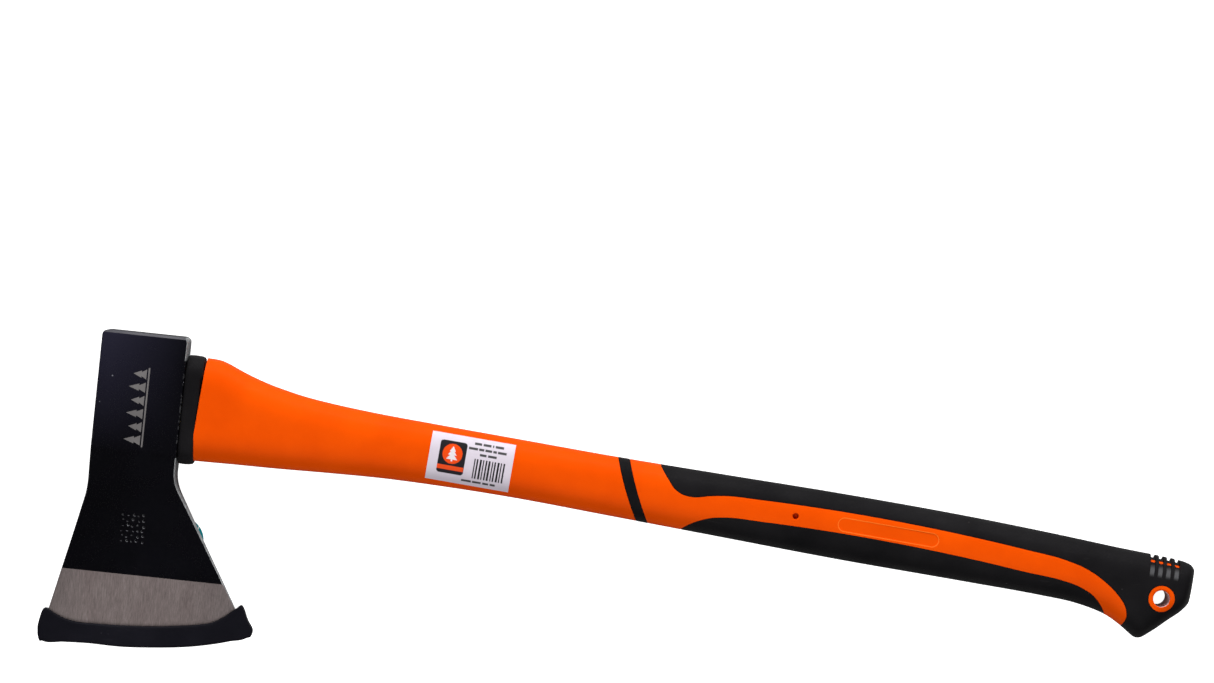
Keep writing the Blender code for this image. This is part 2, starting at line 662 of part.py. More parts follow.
def slot_solid():
    """The space for the blade: its taper with play, swept along the pull. Its ends run
    along the pull, or with a side of the blade that leans out further, so the corners of
    the blade can leave it."""
    depth = np.array([-GUARD_PLAY, 2 * MM, 8 * MM, 14 * MM, 22 * MM])[:, None]
    behind = np.maximum(depth, 0)
    toe_lean = min(0, drift(np.array([TOE_FLARE, TOE_REACH - TOE_KNEE])))
    heel_lean = max(0, drift(np.array([-HEEL_FLARE, HEEL_REACH - HEEL_KNEE])))
    first = toe_lean * behind - GUARD_PLAY
    last = CHORD + heel_lean * behind + GUARD_PLAY
    a = first + (last - first) * np.linspace(0, 1, 23)[None, :]
    b = bulge(a) - depth
    x = TOE[0] + a * ALONG[0] + b * OUTWARD[0]
    y = TOE[1] + a * ALONG[1] + b * OUTWARD[1]
    within = np.clip(x, TOE[0], HEEL[0])
    return lens("guard_slot", x, y, blade_half(within, y) + GUARD_PLAY)


def main():
    for old in list(bpy.data.objects):
        bpy.data.objects.remove(old, do_unlink=True)
    line = bpy.data.objects.new("handle_line", None)
    bpy.context.scene.collection.objects.link(line)
    line.location = (0, 0, MID_Z)
    line.rotation_euler = (0, 0, CORE_TURN)
    hang = (HANDLE_REACH - HANG_SETBACK, HANG_OFFSET)
    core_end = HANDLE_REACH - CORE_BUTT_SETBACK
    head = build_head()
    bond = build_bond(line)
    collar = build_collar(line)
    core = core_solid("fibreglass_core", 0, -HEAD_WIDTH / 2 + CORE_TOE_SETBACK, core_end, line)
    jacket = build_jacket(line, hang, core_end)
    band = build_band(line)
    back, belly = build_grips(line, hang)
    label = build_label(line)
    sticker = build_sticker()
    guard = build_guard()
    finishes = [
        (head, material("black_lacquer", (0.012, 0.012, 0.018), 0.25, 0.0)),
        (bond, material("cured_resin", (0.20, 0.16, 0.09), 0.35)),
        (collar, material("collar_rubber", (0.02, 0.02, 0.022), 0.5)),
        (core, material("glass_fibre", (0.62, 0.52, 0.22), 0.4)),
        (jacket, material("orange_plastic", (0.85, 0.13, 0.005), 0.4)),
        (band, material("band_rubber", (0.02, 0.02, 0.022), 0.6)),
        (back, material("back_grip_rubber", (0.02, 0.02, 0.022), 0.6)),
        (belly, material("belly_grip_rubber", (0.02, 0.02, 0.022), 0.6)),
        (label, material("white_paper", (0.75, 0.72, 0.78), 0.5)),
        (sticker, material("teal_paper", (0.0, 0.25, 0.28), 0.4)),
        (guard, material("guard_plastic", (0.016, 0.016, 0.02), 0.6)),
    ]
    for piece, finish in finishes:
        piece.data.materials.append(finish)


main()
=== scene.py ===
"""The finished look of an axe lying on its side: forged head, fibreglass handle, edge guard.

Metres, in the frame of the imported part: +X runs along the eye towards the butt, +Y towards
the poll, and +Z up out of the upper cheek. Head pieces are worked out in that frame, and
handle pieces along the core, whose line is turned a little towards the cutting edge.

Each shape is a surface over a grid of numbers, closed by a second surface behind it.
"""

import math

import bmesh
import bpy
import numpy as np
from mathutils import Matrix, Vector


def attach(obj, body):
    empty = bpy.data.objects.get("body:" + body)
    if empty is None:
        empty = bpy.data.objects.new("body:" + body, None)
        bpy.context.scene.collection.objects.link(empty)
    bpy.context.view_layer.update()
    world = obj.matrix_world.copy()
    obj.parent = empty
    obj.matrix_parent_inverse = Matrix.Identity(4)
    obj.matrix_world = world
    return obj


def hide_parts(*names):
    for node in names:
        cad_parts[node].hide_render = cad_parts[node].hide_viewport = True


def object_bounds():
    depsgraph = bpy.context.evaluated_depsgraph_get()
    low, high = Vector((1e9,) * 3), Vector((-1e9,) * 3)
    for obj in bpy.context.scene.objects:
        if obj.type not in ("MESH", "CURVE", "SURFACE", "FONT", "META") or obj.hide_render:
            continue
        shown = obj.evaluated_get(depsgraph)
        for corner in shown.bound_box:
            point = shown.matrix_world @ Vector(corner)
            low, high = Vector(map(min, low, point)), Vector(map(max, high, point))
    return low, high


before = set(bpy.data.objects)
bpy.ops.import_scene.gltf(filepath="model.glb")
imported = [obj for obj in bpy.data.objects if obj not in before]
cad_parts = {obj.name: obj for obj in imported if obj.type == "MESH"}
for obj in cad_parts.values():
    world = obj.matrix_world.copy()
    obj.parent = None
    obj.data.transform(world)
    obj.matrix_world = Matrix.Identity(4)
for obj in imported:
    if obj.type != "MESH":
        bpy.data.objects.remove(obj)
cad_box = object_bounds()

MM = 0.001

# Head
HEAD_THICKNESS = 30.0 * MM
HEAD_WIDTH = 54.0 * MM
POLL_REACH = 45.3 * MM
POLL_CORNER = 3.4 * MM
SIDE_ROUNDING = 1.0 * MM
CHEEK_REACH = 29.0 * MM
NECK_REACH = 56.0 * MM
NECK_THICKNESS = 17.0 * MM
NECK_SHOULDER = 2.9 * MM
BLADE_HOLLOW = 1.3 * MM
TOE_KNEE = 55.0 * MM
HEEL_KNEE = 46.5 * MM
KNEE_BLEND = 7.0 * MM
TOE_FLARE = 20.3 * MM
TOE_REACH = 147.4 * MM
HEEL_FLARE = 53.5 * MM
HEEL_REACH = 134.6 * MM
EDGE_RADIUS = 320.0 * MM
EDGE_THICKNESS = 0.5 * MM
BEVEL_HEIGHT = 27.2 * MM
BEVEL_THICKNESS = 7.2 * MM
EYE_HEIGHT = 60.0 * MM
CHEEK_WALL = 4.2 * MM
EYE_DRAFT = 1.0 * MM
EYE_COUNTERSINK = 0.8 * MM
STAMP = (3.7 * MM, -77.8 * MM)
STAIN = (-0.043, -0.1145, 0.018)

# Core and collar
CORE_TURN = math.radians(-4.0)
CORE_HEIGHT = 28.0 * MM
CORE_THICKNESS = 15.0 * MM
CORE_START = -25.5 * MM
CORE_END = 635.8 * MM
COLLAR_START = 27.3 * MM
COLLAR_WIDTH = 9.7 * MM
COLLAR_LIP = 4.4 * MM
COLLAR_THICKNESS = 29.0 * MM
JACKET_START = 37.3 * MM

# Handle: cover over the core, from the eye and then from the butt
HANDLE_REACH = 672.8 * MM
BACK_FRONT = [(20, 21.9), (38, 22.3), (46, 22.2), (52, 20.6), (59, 18.1), (67, 15.6),
              (77, 13.0), (88, 10.9), (100, 9.1), (120, 7.5), (145, 6.5), (185, 6.1),
              (240, 5.9), (300, 5.7), (365, 6.4)]
BACK_SWELL = 7.5
BACK_REAR = [(139, 7.1), (90, 5.8), (45, 4.1), (20, 3.5), (12, 3.1), (6, 2.3), (2.2, 0.9),
             (0, -1.5)]
BELLY_FRONT = [(20, 16.2), (40, 15.1), (63, 13.2), (89, 11.2), (125, 8.0), (160, 5.3),
               (185, 4.2), (240, 3.1), (300, 3.8), (365, 4.7)]
BELLY_SWELL = 5.9
BELLY_REAR = [(139, 5.8), (93, 6.0), (72, 6.8), (60, 8.6), (51.5, 10.7), (40, 16.1),
              (34, 19.8), (30.5, 21.7), (27.5, 21.6), (21.5, 17.1), (12, 7.9), (3, -1.3),
              (0.8, -4.4), (0, -6.0)]
SIDE_COVER_FRONT = [(20, 6.2), (45, 6.2), (110, 5.7), (220, 5.5), (330, 6.0)]
SIDE_COVER_REAR = [(139, 7.0), (70, 7.3), (0, 7.5)]
SECTION_POWER = 2.5
SECTION_REACH = 21.0 * MM
BUTT_ROUNDING = 6.0 * MM

# What is let into the jacket
BAND_BACK = 302.5 * MM
BAND_BELLY = 320.5 * MM
BAND_WIDTH = 7.4 * MM
BAND_BULGE = 1.2 * MM
BAND_DEPTH = 1.5 * MM
GRIP_DEPTH = 2.2 * MM
SEAM = 0.12 * MM
LIP = 0.45 * MM
STRIP_BACK = [(327, 26), (329.7, 19.7), (335.6, 12.3), (340.9, 6.6), (346.1, 4.1),
              (353.2, 3.6), (363, 6.0), (373.2, 7.9), (395, 9.2), (536.8, 9.1),
              (564.8, 7.4), (590.8, 5.2), (604.8, 1.9), (616.4, -3.6), (625.8, -10.2),
              (632.2, -17.3), (634.1, -23.2), (632.4, -30.0), (627.8, -38)]
STRIP_BELLY = [(343.5, -24), (348.6, -18.3), (352.9, -14.4), (359.1, -10.6),
               (365.5, -7.8), (375.5, -5.6), (397.4, -4.3), (538.8, -4.8),
               (567.8, -6.6), (588.8, -7.6), (600.8, -9.6), (612.2, -14.6),
               (618.4, -20.8), (621.0, -24.6), (624.3, -32)]
PIN_HOLE = (418.4 * MM, 3.0 * MM)
PIN_HOLE_DIAMETER = 3.8 * MM
PIN_FLOOR = CORE_THICKNESS / 2 + 0.5 * MM
PAD_CENTRE = (477.6 * MM, 3.0 * MM)
PAD_LENGTH = 64.0 * MM
PAD_WIDTH = 8.5 * MM
PAD_DEPTH = 0.5 * MM
# width of the pad's painted highlight line
PAD_HIGHLIGHT_WIDTH = 0.28 * MM
HANG = (653.7 * MM, -8.3 * MM)
HANG_BORE = 10.5 * MM
HANG_BOSS = 16.4 * MM
SLOT_COUNT = 4
SLOT_PITCH = 5.15 * MM
SLOT_WIDTH = 3.3 * MM
SLOT_DEPTH = 1.6 * MM
SLOT_FROM_BUTT = 20.0 * MM
SLOT_BOTTOM = 4.4 * MM
SLOT_WINDOW = (1.2 * MM, 2.9 * MM)
SLOT_WINDOW_EASE = 0.4 * MM
SLOT_RUN_OUT = 12.0 * MM

# Paper
LABEL_LENGTH = 53.0 * MM
LABEL_HEIGHT = 30.0 * MM
LABEL_CENTRE = (211.4 * MM, 1.2 * MM)
LABEL_STEP = 0.25 * MM
PAPER = 0.12 * MM
PAPER_GAP = 0.05 * MM
STICKER_DIAMETER = 28.0 * MM
STICKER_OVERHANG = 1.4 * MM
STICKER_BELOW_KNEE = 29.5 * MM
RINGS_CENTRE = (34.0 * MM, -71.0 * MM)
RINGS_RADII = (10.5 * MM, 5.5 * MM)
RINGS_WIDTH = 0.8 * MM

# Guard, along the chord of the edge and square to it
GUARD_THICKNESS = 8.0 * MM
GUARD_ROUNDING = 1.3 * MM
GUARD_PLAY = 0.5 * MM
GUARD_TOP_TOE = [(-2.5, -2.3), (-1.4, -6.5), (1.4, -13.6), (2.8, -14.0), (9, -11.6),
                 (15, -9.6), (22, -8.6), (34, -8.8)]
GUARD_TOP_HEEL = [(-40, -8.2), (-29, -7.9), (-20.5, -8.4), (-13, -11.0), (-6.0, -14.6),
                  (-1.8, -15.4), (1.9, -5.4), (3.6, -2.6), (4.6, -0.6)]
GUARD_FOOT_TOE = [(-2.5, 3.4), (-1.6, 6.6), (0.4, 7.2), (14, 5.4), (28, 4.2), (50, 4.7)]
GUARD_FOOT_HEEL = [(-60, 4.9), (-30, 5.6), (-10, 5.4), (1.5, 4.9), (3.8, 3.6), (4.6, 1.4)]

# Surroundings
FLOOR_REACH = 400.0
FLOOR_SEEN = 1.22
FLOOR_LIT = 0.0
WORLD_BACK = 0.55
WORLD_OVERHEAD = 0.03
LIGHTS_AIM = (0.30, 0.0, 0.0)
KEY_AT, KEY_SIZE, KEY_POWER = (0.30, 1.95, 0.95), (2.2, 0.7), 62.0
OVERHEAD_AT, OVERHEAD_SIZE, OVERHEAD_POWER = (0.35, -1.0, 1.9), (1.8, 1.8), 30.0
CAMERA_HEIGHT = 3.0
VIEW_WIDTH = 0.7648
CAMERA_OVER = (0.282, 0.134)
VIEW_CENTRE = (0.2884, 0.0702)
VIEW_UP = (-0.1045, 0.9945, 0)

MID_Z = HEAD_THICKNESS / 2
CLEAR = 1.0 * MM  # how far a cutter stands outside the skin that it cuts
FAR = 30.0 * MM  # beyond every surface over the mid-plane
RING_POINTS = 120
EYE_POINTS = 96
OUTLINE_POINTS = 900


# ---------------------------------------------------------------- curves


def smooth(x, points):
    """A curve through (x, y) points: a cubic on each stretch, with the slope at a point
    taken as the weighted mean of the slopes on either side of it."""
    xs, ys = np.array(points, float).T
    step, rise = np.diff(xs), np.diff(ys)
    slope = rise / step
    inner = (slope[:-1] * step[1:] + slope[1:] * step[:-1]) / (step[:-1] + step[1:])
    tangent = np.concatenate([slope[:1], inner, slope[-1:]])
    x = np.clip(x, xs[0], xs[-1])
    i = np.clip(np.searchsorted(xs, x, side="right") - 1, 0, len(step) - 1)
    t = (x - xs[i]) / step[i]
    return (ys[i] * (1 + 2 * t) * (1 - t) ** 2 + ys[i + 1] * t * t * (3 - 2 * t)
            + step[i] * (tangent[i] * t * (1 - t) ** 2 - tangent[i + 1] * t * t * (1 - t)))


def run_of(path):
    """Distance along a path at each of its points."""
    return np.concatenate([[0], np.cumsum(np.hypot(*np.diff(path, axis=0).T))])


def smooth_path(points, parts):
    """Points in metres along a curve through (x, y) points in millimetres."""
    points = np.array(points, float) * MM
    run = run_of(points)
    at = np.concatenate([np.linspace(a, b, parts, endpoint=False)
                         for a, b in zip(run[:-1], run[1:])] + [run[-1:]])
    return np.stack([smooth(at, np.column_stack([run, points[:, i]])) for i in (0, 1)], 1)


def at_runs(path, run):
    """Points of a path at given distances along it."""
    own = run_of(path)
    return np.column_stack([np.interp(run, own, path[:, i]) for i in (0, 1)])


def shifted(path, distance):
    """A path moved sideways: to its left where the distance is positive."""
    way = np.gradient(path, axis=0)
    way /= np.hypot(*way.T)[:, None]
    return path + distance * np.column_stack([-way[:, 1], way[:, 0]])


def ramp(s, blend):
    """Zero before 0 and s after it, joined by an arc of parabola 'blend' to each side."""
    return np.where(s < -blend, 0, np.where(s > blend, s, (s + blend) ** 2 / (4 * blend)))


def eased(s):
    """0 to 1 as s goes from 0 to 1, level at both ends."""
    s = np.clip(s, 0, 1)
    return s * s * (3 - 2 * s)


def rounding(distance, radius):
    """How much lower a surface is at a distance from its edge: a quarter circle."""
    inward = np.clip(radius - distance, 0, radius)
    return radius - np.sqrt(radius**2 - inward**2)


def along_handle(front, rear, swell=None):
    """Points in metres of a line given from the eye and then from the butt."""
    points = [(x * MM, y * MM) for x, y in front]
    if swell is not None:
        middle = (front[-1][0] * MM + HANDLE_REACH - rear[0][0] * MM) / 2
        points.append((middle, swell * MM))
    return points + [(HANDLE_REACH - x * MM, y * MM) for x, y in rear]


# ---------------------------------------------------------------- meshes


def quads(rows, columns, ring=False):
    """Faces of a grid of points, whose columns may close into a ring."""
    index = np.arange(rows * columns).reshape(rows, columns)
    if ring:
        index = np.concatenate([index, index[:, :1]], 1)
    return np.stack([index[:-1, :-1], index[1:, :-1], index[1:, 1:], index[:-1, 1:]],
                    -1).reshape(-1, 4)


def wall(rim, depth):
    """Faces that join a loop of points to the same loop of the layer behind it."""
    ahead = np.roll(rim, -1)
    return np.stack([rim, ahead, ahead + depth, rim + depth], 1)


def volume(points, faces):
    """Six times the signed volume inside quads, which is plus where they face out."""
    a, b, c, d = (points[faces[:, i]] for i in range(4))
    return float(np.sum(np.cross(a, b) * c) + np.sum(np.cross(a, c) * d))


def made(name, points, faces, weld=True):
    """An object from points and faces, turned to face out, with doubled points merged."""
    points, faces = np.asarray(points, float).reshape(-1, 3), np.asarray(faces)
    if volume(points - points.mean(0), faces) < 0:
        faces = faces[:, ::-1]
    mesh = bpy.data.meshes.new(name)
    mesh.from_pydata(points, [], faces.tolist())
    if weld:
        work = bmesh.new()
        work.from_mesh(mesh)
        bmesh.ops.remove_doubles(work, verts=work.verts, dist=0.002 * MM)
        bmesh.ops.dissolve_degenerate(work, edges=work.edges, dist=0.002 * MM)
        work.to_mesh(mesh)
        work.free()
    thing = bpy.data.objects.new(name, mesh)
    bpy.context.scene.collection.objects.link(thing)
    return thing


def shell(name, outer, inner, ring=False, weld=True):
    """A closed solid between two grids of points of the same size: the outer grid, the
    inner one facing back, and a wall along each open border."""
    rows, columns = outer.shape[:2]
    depth = rows * columns
    index = np.arange(depth).reshape(rows, columns)
    faces = quads(rows, columns, ring)
    if ring:
        walls = [wall(index[0], depth), wall(index[-1, ::-1], depth)]
    else:
        walls = [wall(np.concatenate([index[0, :-1], index[:-1, -1], index[-1, :0:-1],
                                      index[:0:-1, 0]]), depth)]
    points = np.concatenate([outer.reshape(-1, 3), inner.reshape(-1, 3)])
    return made(name, points, np.concatenate([faces, faces[:, ::-1] + depth, *walls]), weld)


def xyz(x, y, z):
    """Points from their coordinates, spread over one grid."""
    return np.stack(np.broadcast_arrays(x, y, z), -1)


def mirrored(x, y, half):
    """A grid and its mirror image in the mid-plane, as the two faces of a shell."""
    top = xyz(x, y, half)
    return top, top * (1, 1, -1)


def rings_solid(name, rings):
    """A solid from rings of points, one after another."""
    rings = np.asarray(rings)
    return made(name, rings, quads(*rings.shape[:2], ring=True))


def turned(name, radius, z, centre, sides=64):
    """A solid turned about a line along Z: a ring of points at each (radius, z), where a
    radius of nothing closes it."""
    turn = circle(sides)
    radius, z = np.array(radius)[:, None], np.array(z)[:, None]
    return rings_solid(name, xyz(centre[0] + radius * np.cos(turn),
                                 centre[1] + radius * np.sin(turn), z))


def circle(sides):
    """Even angles round a full turn."""
    return np.linspace(0, 2 * math.pi, sides, endpoint=False)


def hang_plug(name, outer, *steps):
    """A plug through the hang hole's middle, the same on both sides of the mid-plane: its
    radius far outside, and then each (radius, height) on the way in."""
    radius, z = np.array([(0, FAR), (outer, FAR), *steps]).T
    return turned(name, np.concatenate([radius, radius[::-1]]),
                  np.concatenate([-z, z[::-1]]), HANG)


def carve(blank, *cutters):
    """Cuts a solid with others, one after another, and leaves only the result."""
    for cutter in cutters:
        modifier = blank.modifiers.new("cut", "BOOLEAN")
        modifier.operation = "DIFFERENCE"
        modifier.object = cutter
        modifier.solver = "MANIFOLD"
        bpy.context.view_layer.update()
        evaluated = blank.evaluated_get(bpy.context.evaluated_depsgraph_get())
        mesh = bpy.data.meshes.new_from_object(evaluated)
        blank.modifiers.clear()
        blank.data = mesh
        bpy.data.objects.remove(cutter)


def points_of(mesh):
    points = np.empty(len(mesh.vertices) * 3, np.float32)
    mesh.vertices.foreach_get("co", points)
    return points.reshape(-1, 3).astype(float)


def write_wear_and_highlight(mesh, amount):
    """Keeps how worn each point is, 0 to 1, or how much painted highlight it gets, for the
    finishes to read.
    """
    wear_and_highlight = mesh.attributes.new("wear_and_highlight", "FLOAT", "POINT")
    wear_and_highlight.data.foreach_set("value", amount.astype(np.float32))


def centres_of(mesh):
    return np.array([face.center for face in mesh.polygons])


def give_finishes(mesh, index):
    """Gives each face the finish of its number, and marks as sharp the edges where one
    finish meets another."""
    mesh.polygons.foreach_set("material_index", index.astype(np.int32))
    work = bmesh.new()
    work.from_mesh(mesh)
    for edge in work.edges:
        if len({face.material_index for face in edge.link_faces}) > 1:
            edge.smooth = False
    work.to_mesh(mesh)
    work.free()


def finished(thing, finishes, body, slot, *nodes, sharp=35, turn=0.0):
    """Turns a piece from its own line into the part's frame, shades it, and says what it
    rides on and stands for."""
    mesh = thing.data
    x, y, z = points_of(mesh).T
    points = xyz(x * math.cos(turn) - y * math.sin(turn),
                 x * math.sin(turn) + y * math.cos(turn), z + MID_Z)
    mesh.vertices.foreach_set("co", points.astype(np.float32).ravel())
    mesh.update()
    mesh.shade_smooth()
    mesh.set_sharp_from_angle(angle=math.radians(sharp))
    mesh.materials.clear()
    for finish in finishes:
        mesh.materials.append(finish)
    mesh.polygons.foreach_set("material_index", np.zeros(len(mesh.polygons), np.int32))
    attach(thing, body)
    if nodes:
        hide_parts(*nodes)


# ---------------------------------------------------------------- handle surface


def handle_outline(x):
    """Back, belly and half thickness of the handle's outside at distances from the eye."""
    back = CORE_HEIGHT / 2 + smooth(x, along_handle(BACK_FRONT, BACK_REAR, BACK_SWELL))
    belly = CORE_HEIGHT / 2 + smooth(x, along_handle(BELLY_FRONT, BELLY_REAR, BELLY_SWELL))
    side = CORE_THICKNESS / 2 + smooth(x, along_handle(SIDE_COVER_FRONT, SIDE_COVER_REAR))
    return back, -belly, side


def superellipse(share):
    """Half width, as a share of the most, at a share of the way out to a section's edge."""
    return (1 - np.abs(share) ** SECTION_POWER) ** (1 / SECTION_POWER)


def section_half(inward, reach, thickness):
    """Half thickness at a distance in from a section's edge: flat, then falling as a
    superellipse to nothing within 'reach' of the edge."""
    return thickness * superellipse(1 - np.clip(inward / reach, 0, 1))


def skin_half(x, y):
    """Height of the handle's skin over the mid-plane at points of that plane. The butt's
    last stretch falls away as a quarter ellipse."""
    back, belly, side = handle_outline(x)
    middle, height = (back + belly) / 2, (back - belly) / 2
    half = section_half(height - np.abs(y - middle), np.minimum(SECTION_REACH, height), side)
    end = 1 - np.clip((HANDLE_REACH - x) / BUTT_ROUNDING, 0, 1)
    return half * np.sqrt(1 - end**2)


def skin_normal(x, y, z):
    """Outward normal of the skin: the slope of z squared less half squared."""
    step = 0.02 * MM
    along = skin_half(x + step, y) ** 2 - skin_half(x - step, y) ** 2
    across = skin_half(x, y + step) ** 2 - skin_half(x, y - step) ** 2
    normal = np.stack([-along, -across, 4 * step * z], -1)
    return normal / np.maximum(np.linalg.norm(normal, axis=-1, keepdims=True), 1e-15)


def skin_shell(name, x, y, side, raised, depth, **how):
    """A shell that follows the skin on the given side of the mid-plane, from 'raised' over
    it to 'depth' under it, both measured square to it."""
    z = skin_half(x, y) * side
    normal = skin_normal(x, y, z)
    skin = xyz(x, y, z)
    raised, depth = (np.asarray(level)[..., None] for level in (raised, depth))
    return shell(name, skin + normal * raised, skin - normal * depth, **how)


def section_ring(count):
    """Shares from -1 to 1 round a section and the side of the mid-plane that each is on,
    spaced so that the round ends are even."""
    turn = circle(count)
    share = np.sign(np.sin(turn)) * np.abs(np.sin(turn)) ** (2 / SECTION_POWER)
    return share, np.sign(np.round(np.cos(turn), 9))


def across_handle(x, share):
    """Places across the handle at shares from the belly, -1, to the back, 1."""
    back, belly, _ = handle_outline(x)
    return (back + belly) / 2 + (back - belly) / 2 * share


def bar(name, height, thickness, start, end, ease=0.0, count=72):
    """A straight bar of superellipse section along the core's line, with eased ends."""
    share, side = section_ring(count)
    near = max(ease, 0.01 * MM)
    x = np.array([start, start, start + near, end - near, end, end])[:, None]
    shrink = np.array([height / 2, ease, 0, 0, ease, height / 2])[:, None]
    tall = height / 2 - shrink
    half = section_half(tall * (1 - np.abs(share)), np.maximum(tall, 1e-9),
                        np.maximum(thickness / 2 - shrink, 0)) * side
    return rings_solid(name, xyz(x, tall * share, half))


def handle_blank():
    """The whole handle's outside, as rings round sections square to the core."""
    butt = HANDLE_REACH - BUTT_ROUNDING * np.array([1, .72, .5, .33, .2, .11, .05, .015, 0])
    x = np.concatenate([np.linspace(JACKET_START, 120 * MM, 48)[:-1],
                        np.linspace(120 * MM, 560 * MM, 150)[:-1],
                        np.linspace(560 * MM, butt[0], 72)[:-1], butt])[:, None]
    share, side = section_ring(RING_POINTS)
    y = across_handle(x, share)
    points = xyz(x, y, skin_half(x, y) * side)
    front = points[:1] * (1, 0, 0) + np.array([0, points[0, :, 1].mean(), 0])
    return rings_solid("handle_jacket_shell", np.concatenate([front, points]))


def silhouette(first, last):
    """The handle's outline in the plane, from a point on the back round the butt to a
    point on the belly."""
    dense = np.linspace(0, 1, OUTLINE_POINTS)
    x = first + (HANDLE_REACH - first) * (1 - (1 - dense) ** 1.6)
    back = np.column_stack([x, handle_outline(x)[0]])
    x = last + (HANDLE_REACH - last) * (1 - dense**1.6)
    belly = np.column_stack([x, handle_outline(x)[1]])
    across = np.linspace(0, 1, 40)[1:-1, None]
    return np.concatenate([back, back[-1] + (belly[0] - back[-1]) * across, belly])


def inside_skin(path):
    """The stretch of a path that lies within the handle's outline, cut off at it."""
    back, belly, _ = handle_outline(path[:, 0])
    room = np.minimum(back - path[:, 1], path[:, 1] - belly)
    inside = np.flatnonzero(room > 0)
    first, last = inside[0], inside[-1]
    ends = []
    for a, b in ((first - 1, first), (last + 1, last)):
        ends.append(path[a] + (path[b] - path[a]) * room[a] / (room[a] - room[b]))
    return np.concatenate([ends[:1], path[first:last + 1], ends[1:]])


def panel_lines(edge, matches, whole_butt, count):
    """Pairs of points across a panel: one on its strip edge and one on the silhouette,
    which move along together. 'matches' pairs places of the two lines. The lines stop
    just short of their shared ends, so no pair falls together."""
    if whole_butt:
        rim = silhouette(edge[0, 0], edge[-1, 0])
    else:
        x = np.linspace(edge[0, 0], edge[-1, 0], OUTLINE_POINTS)
        rim = np.column_stack([x, handle_outline(x)[1]])
    knots = [(0.0, 0.0)]
    for place_a, place_b in np.array(matches) * MM:
        knots.append(tuple(run_of(line)[np.argmin(np.hypot(*(line - spot).T))]
                           for line, spot in ((edge, place_a), (rim, place_b))))
    knots = np.array(knots + [(run_of(edge)[-1], run_of(rim)[-1])])
    both = knots / knots[-1]
    at = np.linspace(0.0008, 0.9992, count)
    mean = both.mean(1)
    edge, rim = (at_runs(line, np.interp(at, mean, knots[:, i]))
                 for i, line in enumerate((edge, rim)))
    if not whole_butt:
        rim[:, 1] = handle_outline(rim[:, 0])[1]
    return edge, rim


def panel(name, edge, rim, raised, depth, lip):
    """A panel of the skin between its strip edge on the upper face, over the silhouette,
    and the same edge on the lower face. Points leave the silhouette by a power of their
    number, which spaces them evenly round it, and end with a few close to the edge, where
    the skin drops by a quarter circle."""
    power, near_edge = 2.3, np.array([1.1, 0.75, 0.45, 0.22, 0.07, 0]) * MM
    length = np.hypot(*(rim - edge).T)[:, None]
    gap = np.minimum(near_edge, length * near_edge / (2 * near_edge[0]))
    most = (1 - np.minimum(2 * gap[:, :1], length / 2) / np.maximum(length, 1e-9)) ** (1 / power)
    away = (np.linspace(0, 1, 17) * most) ** power
    away = np.concatenate([away, 1 - gap / np.maximum(length, 1e-9)], 1)
    away = np.concatenate([away[:, :0:-1], away], 1)
    face = np.sign(np.arange(away.shape[1]) - away.shape[1] // 2)
    x, y = (rim[:, i:i + 1] + (edge - rim)[:, i:i + 1] * away for i in (0, 1))
    return skin_shell(name, x, y, face, raised - rounding(length * (1 - away), lip), depth)


BACK_MATCHES = [((346.1, 4.1), (349, 20.0)), ((395, 9.2), (396, 20.5)),
                ((536.8, 9.1), (540, 21.0)), ((590.8, 5.2), (606, 19.3)),
                ((610, -0.5), (644, 17.6)), ((618.6, -5.1), (663, 16.8)),
                ((623.0, -8.0), (671.5, 14.0)), ((628.5, -12.8), (672.8, 1.0)),
                ((632.2, -17.3), (672.4, -9.2)), ((633.6, -20.6), (664.5, -18.2)),
                ((634.1, -24.0), (652.0, -30.4)), ((633.3, -27.5), (642.0, -35.7))]
BELLY_MATCHES = [((359.1, -10.6), (362, -18.6)), ((397.4, -4.3), (399, -19.3)),
                 ((538.8, -4.8), (538, -19.8)), ((600.8, -9.6), (597, -20.5))]


def back_lines(grow):
    edge = inside_skin(shifted(smooth_path(STRIP_BACK, 24), -grow))
    return panel_lines(edge, BACK_MATCHES, True, 330)


def belly_lines(grow):
    edge = inside_skin(shifted(smooth_path(STRIP_BELLY, 24), grow))
    return panel_lines(edge, BELLY_MATCHES, False, 260)


def band(name, raised, depth, grow, lip):
    """The slanted band: rings round the handle, whose distance from the eye follows the
    share across the section, with a bulge of a parabola."""
    share, side = section_ring(RING_POINTS)
    place_across = (share + 1) / 2
    front = (BAND_BELLY + (BAND_BACK - BAND_BELLY) * place_across
             - BAND_BULGE * 4 * place_across * (1 - place_across))
    width = BAND_WIDTH + 2 * grow
    inner = np.array([0, 0.05, 0.15, 0.3, 0.45]) * MM
    step = np.concatenate([inner, np.linspace(0.8 * MM, width - 0.8 * MM, 5),
                           width - inner[::-1]])[:, None]
    x = front - grow + step
    drop = rounding(np.minimum(step, width - step), lip)
    return skin_shell(name, x, across_handle(x, share), side, raised - drop, depth, ring=True)


def slot_cutter(number):
    """The space of one slot: a strip of the skin over the back edge, whose flat floor
    climbs steadily to its lower ends and goes right through near the back."""
    middle = HANDLE_REACH - SLOT_FROM_BUTT - (number - (SLOT_COUNT - 1) / 2) * SLOT_PITCH
    across = np.linspace(-1, 1, 13)[:, None]
    x = middle + SLOT_WIDTH / 2 * np.sign(across) * np.abs(across) ** 0.55
    back = handle_outline(x)[0]
    away = np.linspace(-1, 1, 81)[None, :]
    y = back - (back - SLOT_BOTTOM) * np.abs(away) ** 2.0
    down = back - y
    opens, closes = (eased((down - place) / SLOT_WINDOW_EASE) for place in SLOT_WINDOW)
    window = opens * (1 - closes)
    low = np.clip((y - SLOT_BOTTOM) / SLOT_RUN_OUT, 0, 1)
    floor = (0.25 * MM + SLOT_DEPTH * low) * eased(low * 12)
    depth = 0.1 * MM + (floor + window * 1.1 * MM) * (1 - across**8)
    return skin_shell("slot_cutter", x, y, np.sign(away), CLEAR, depth)


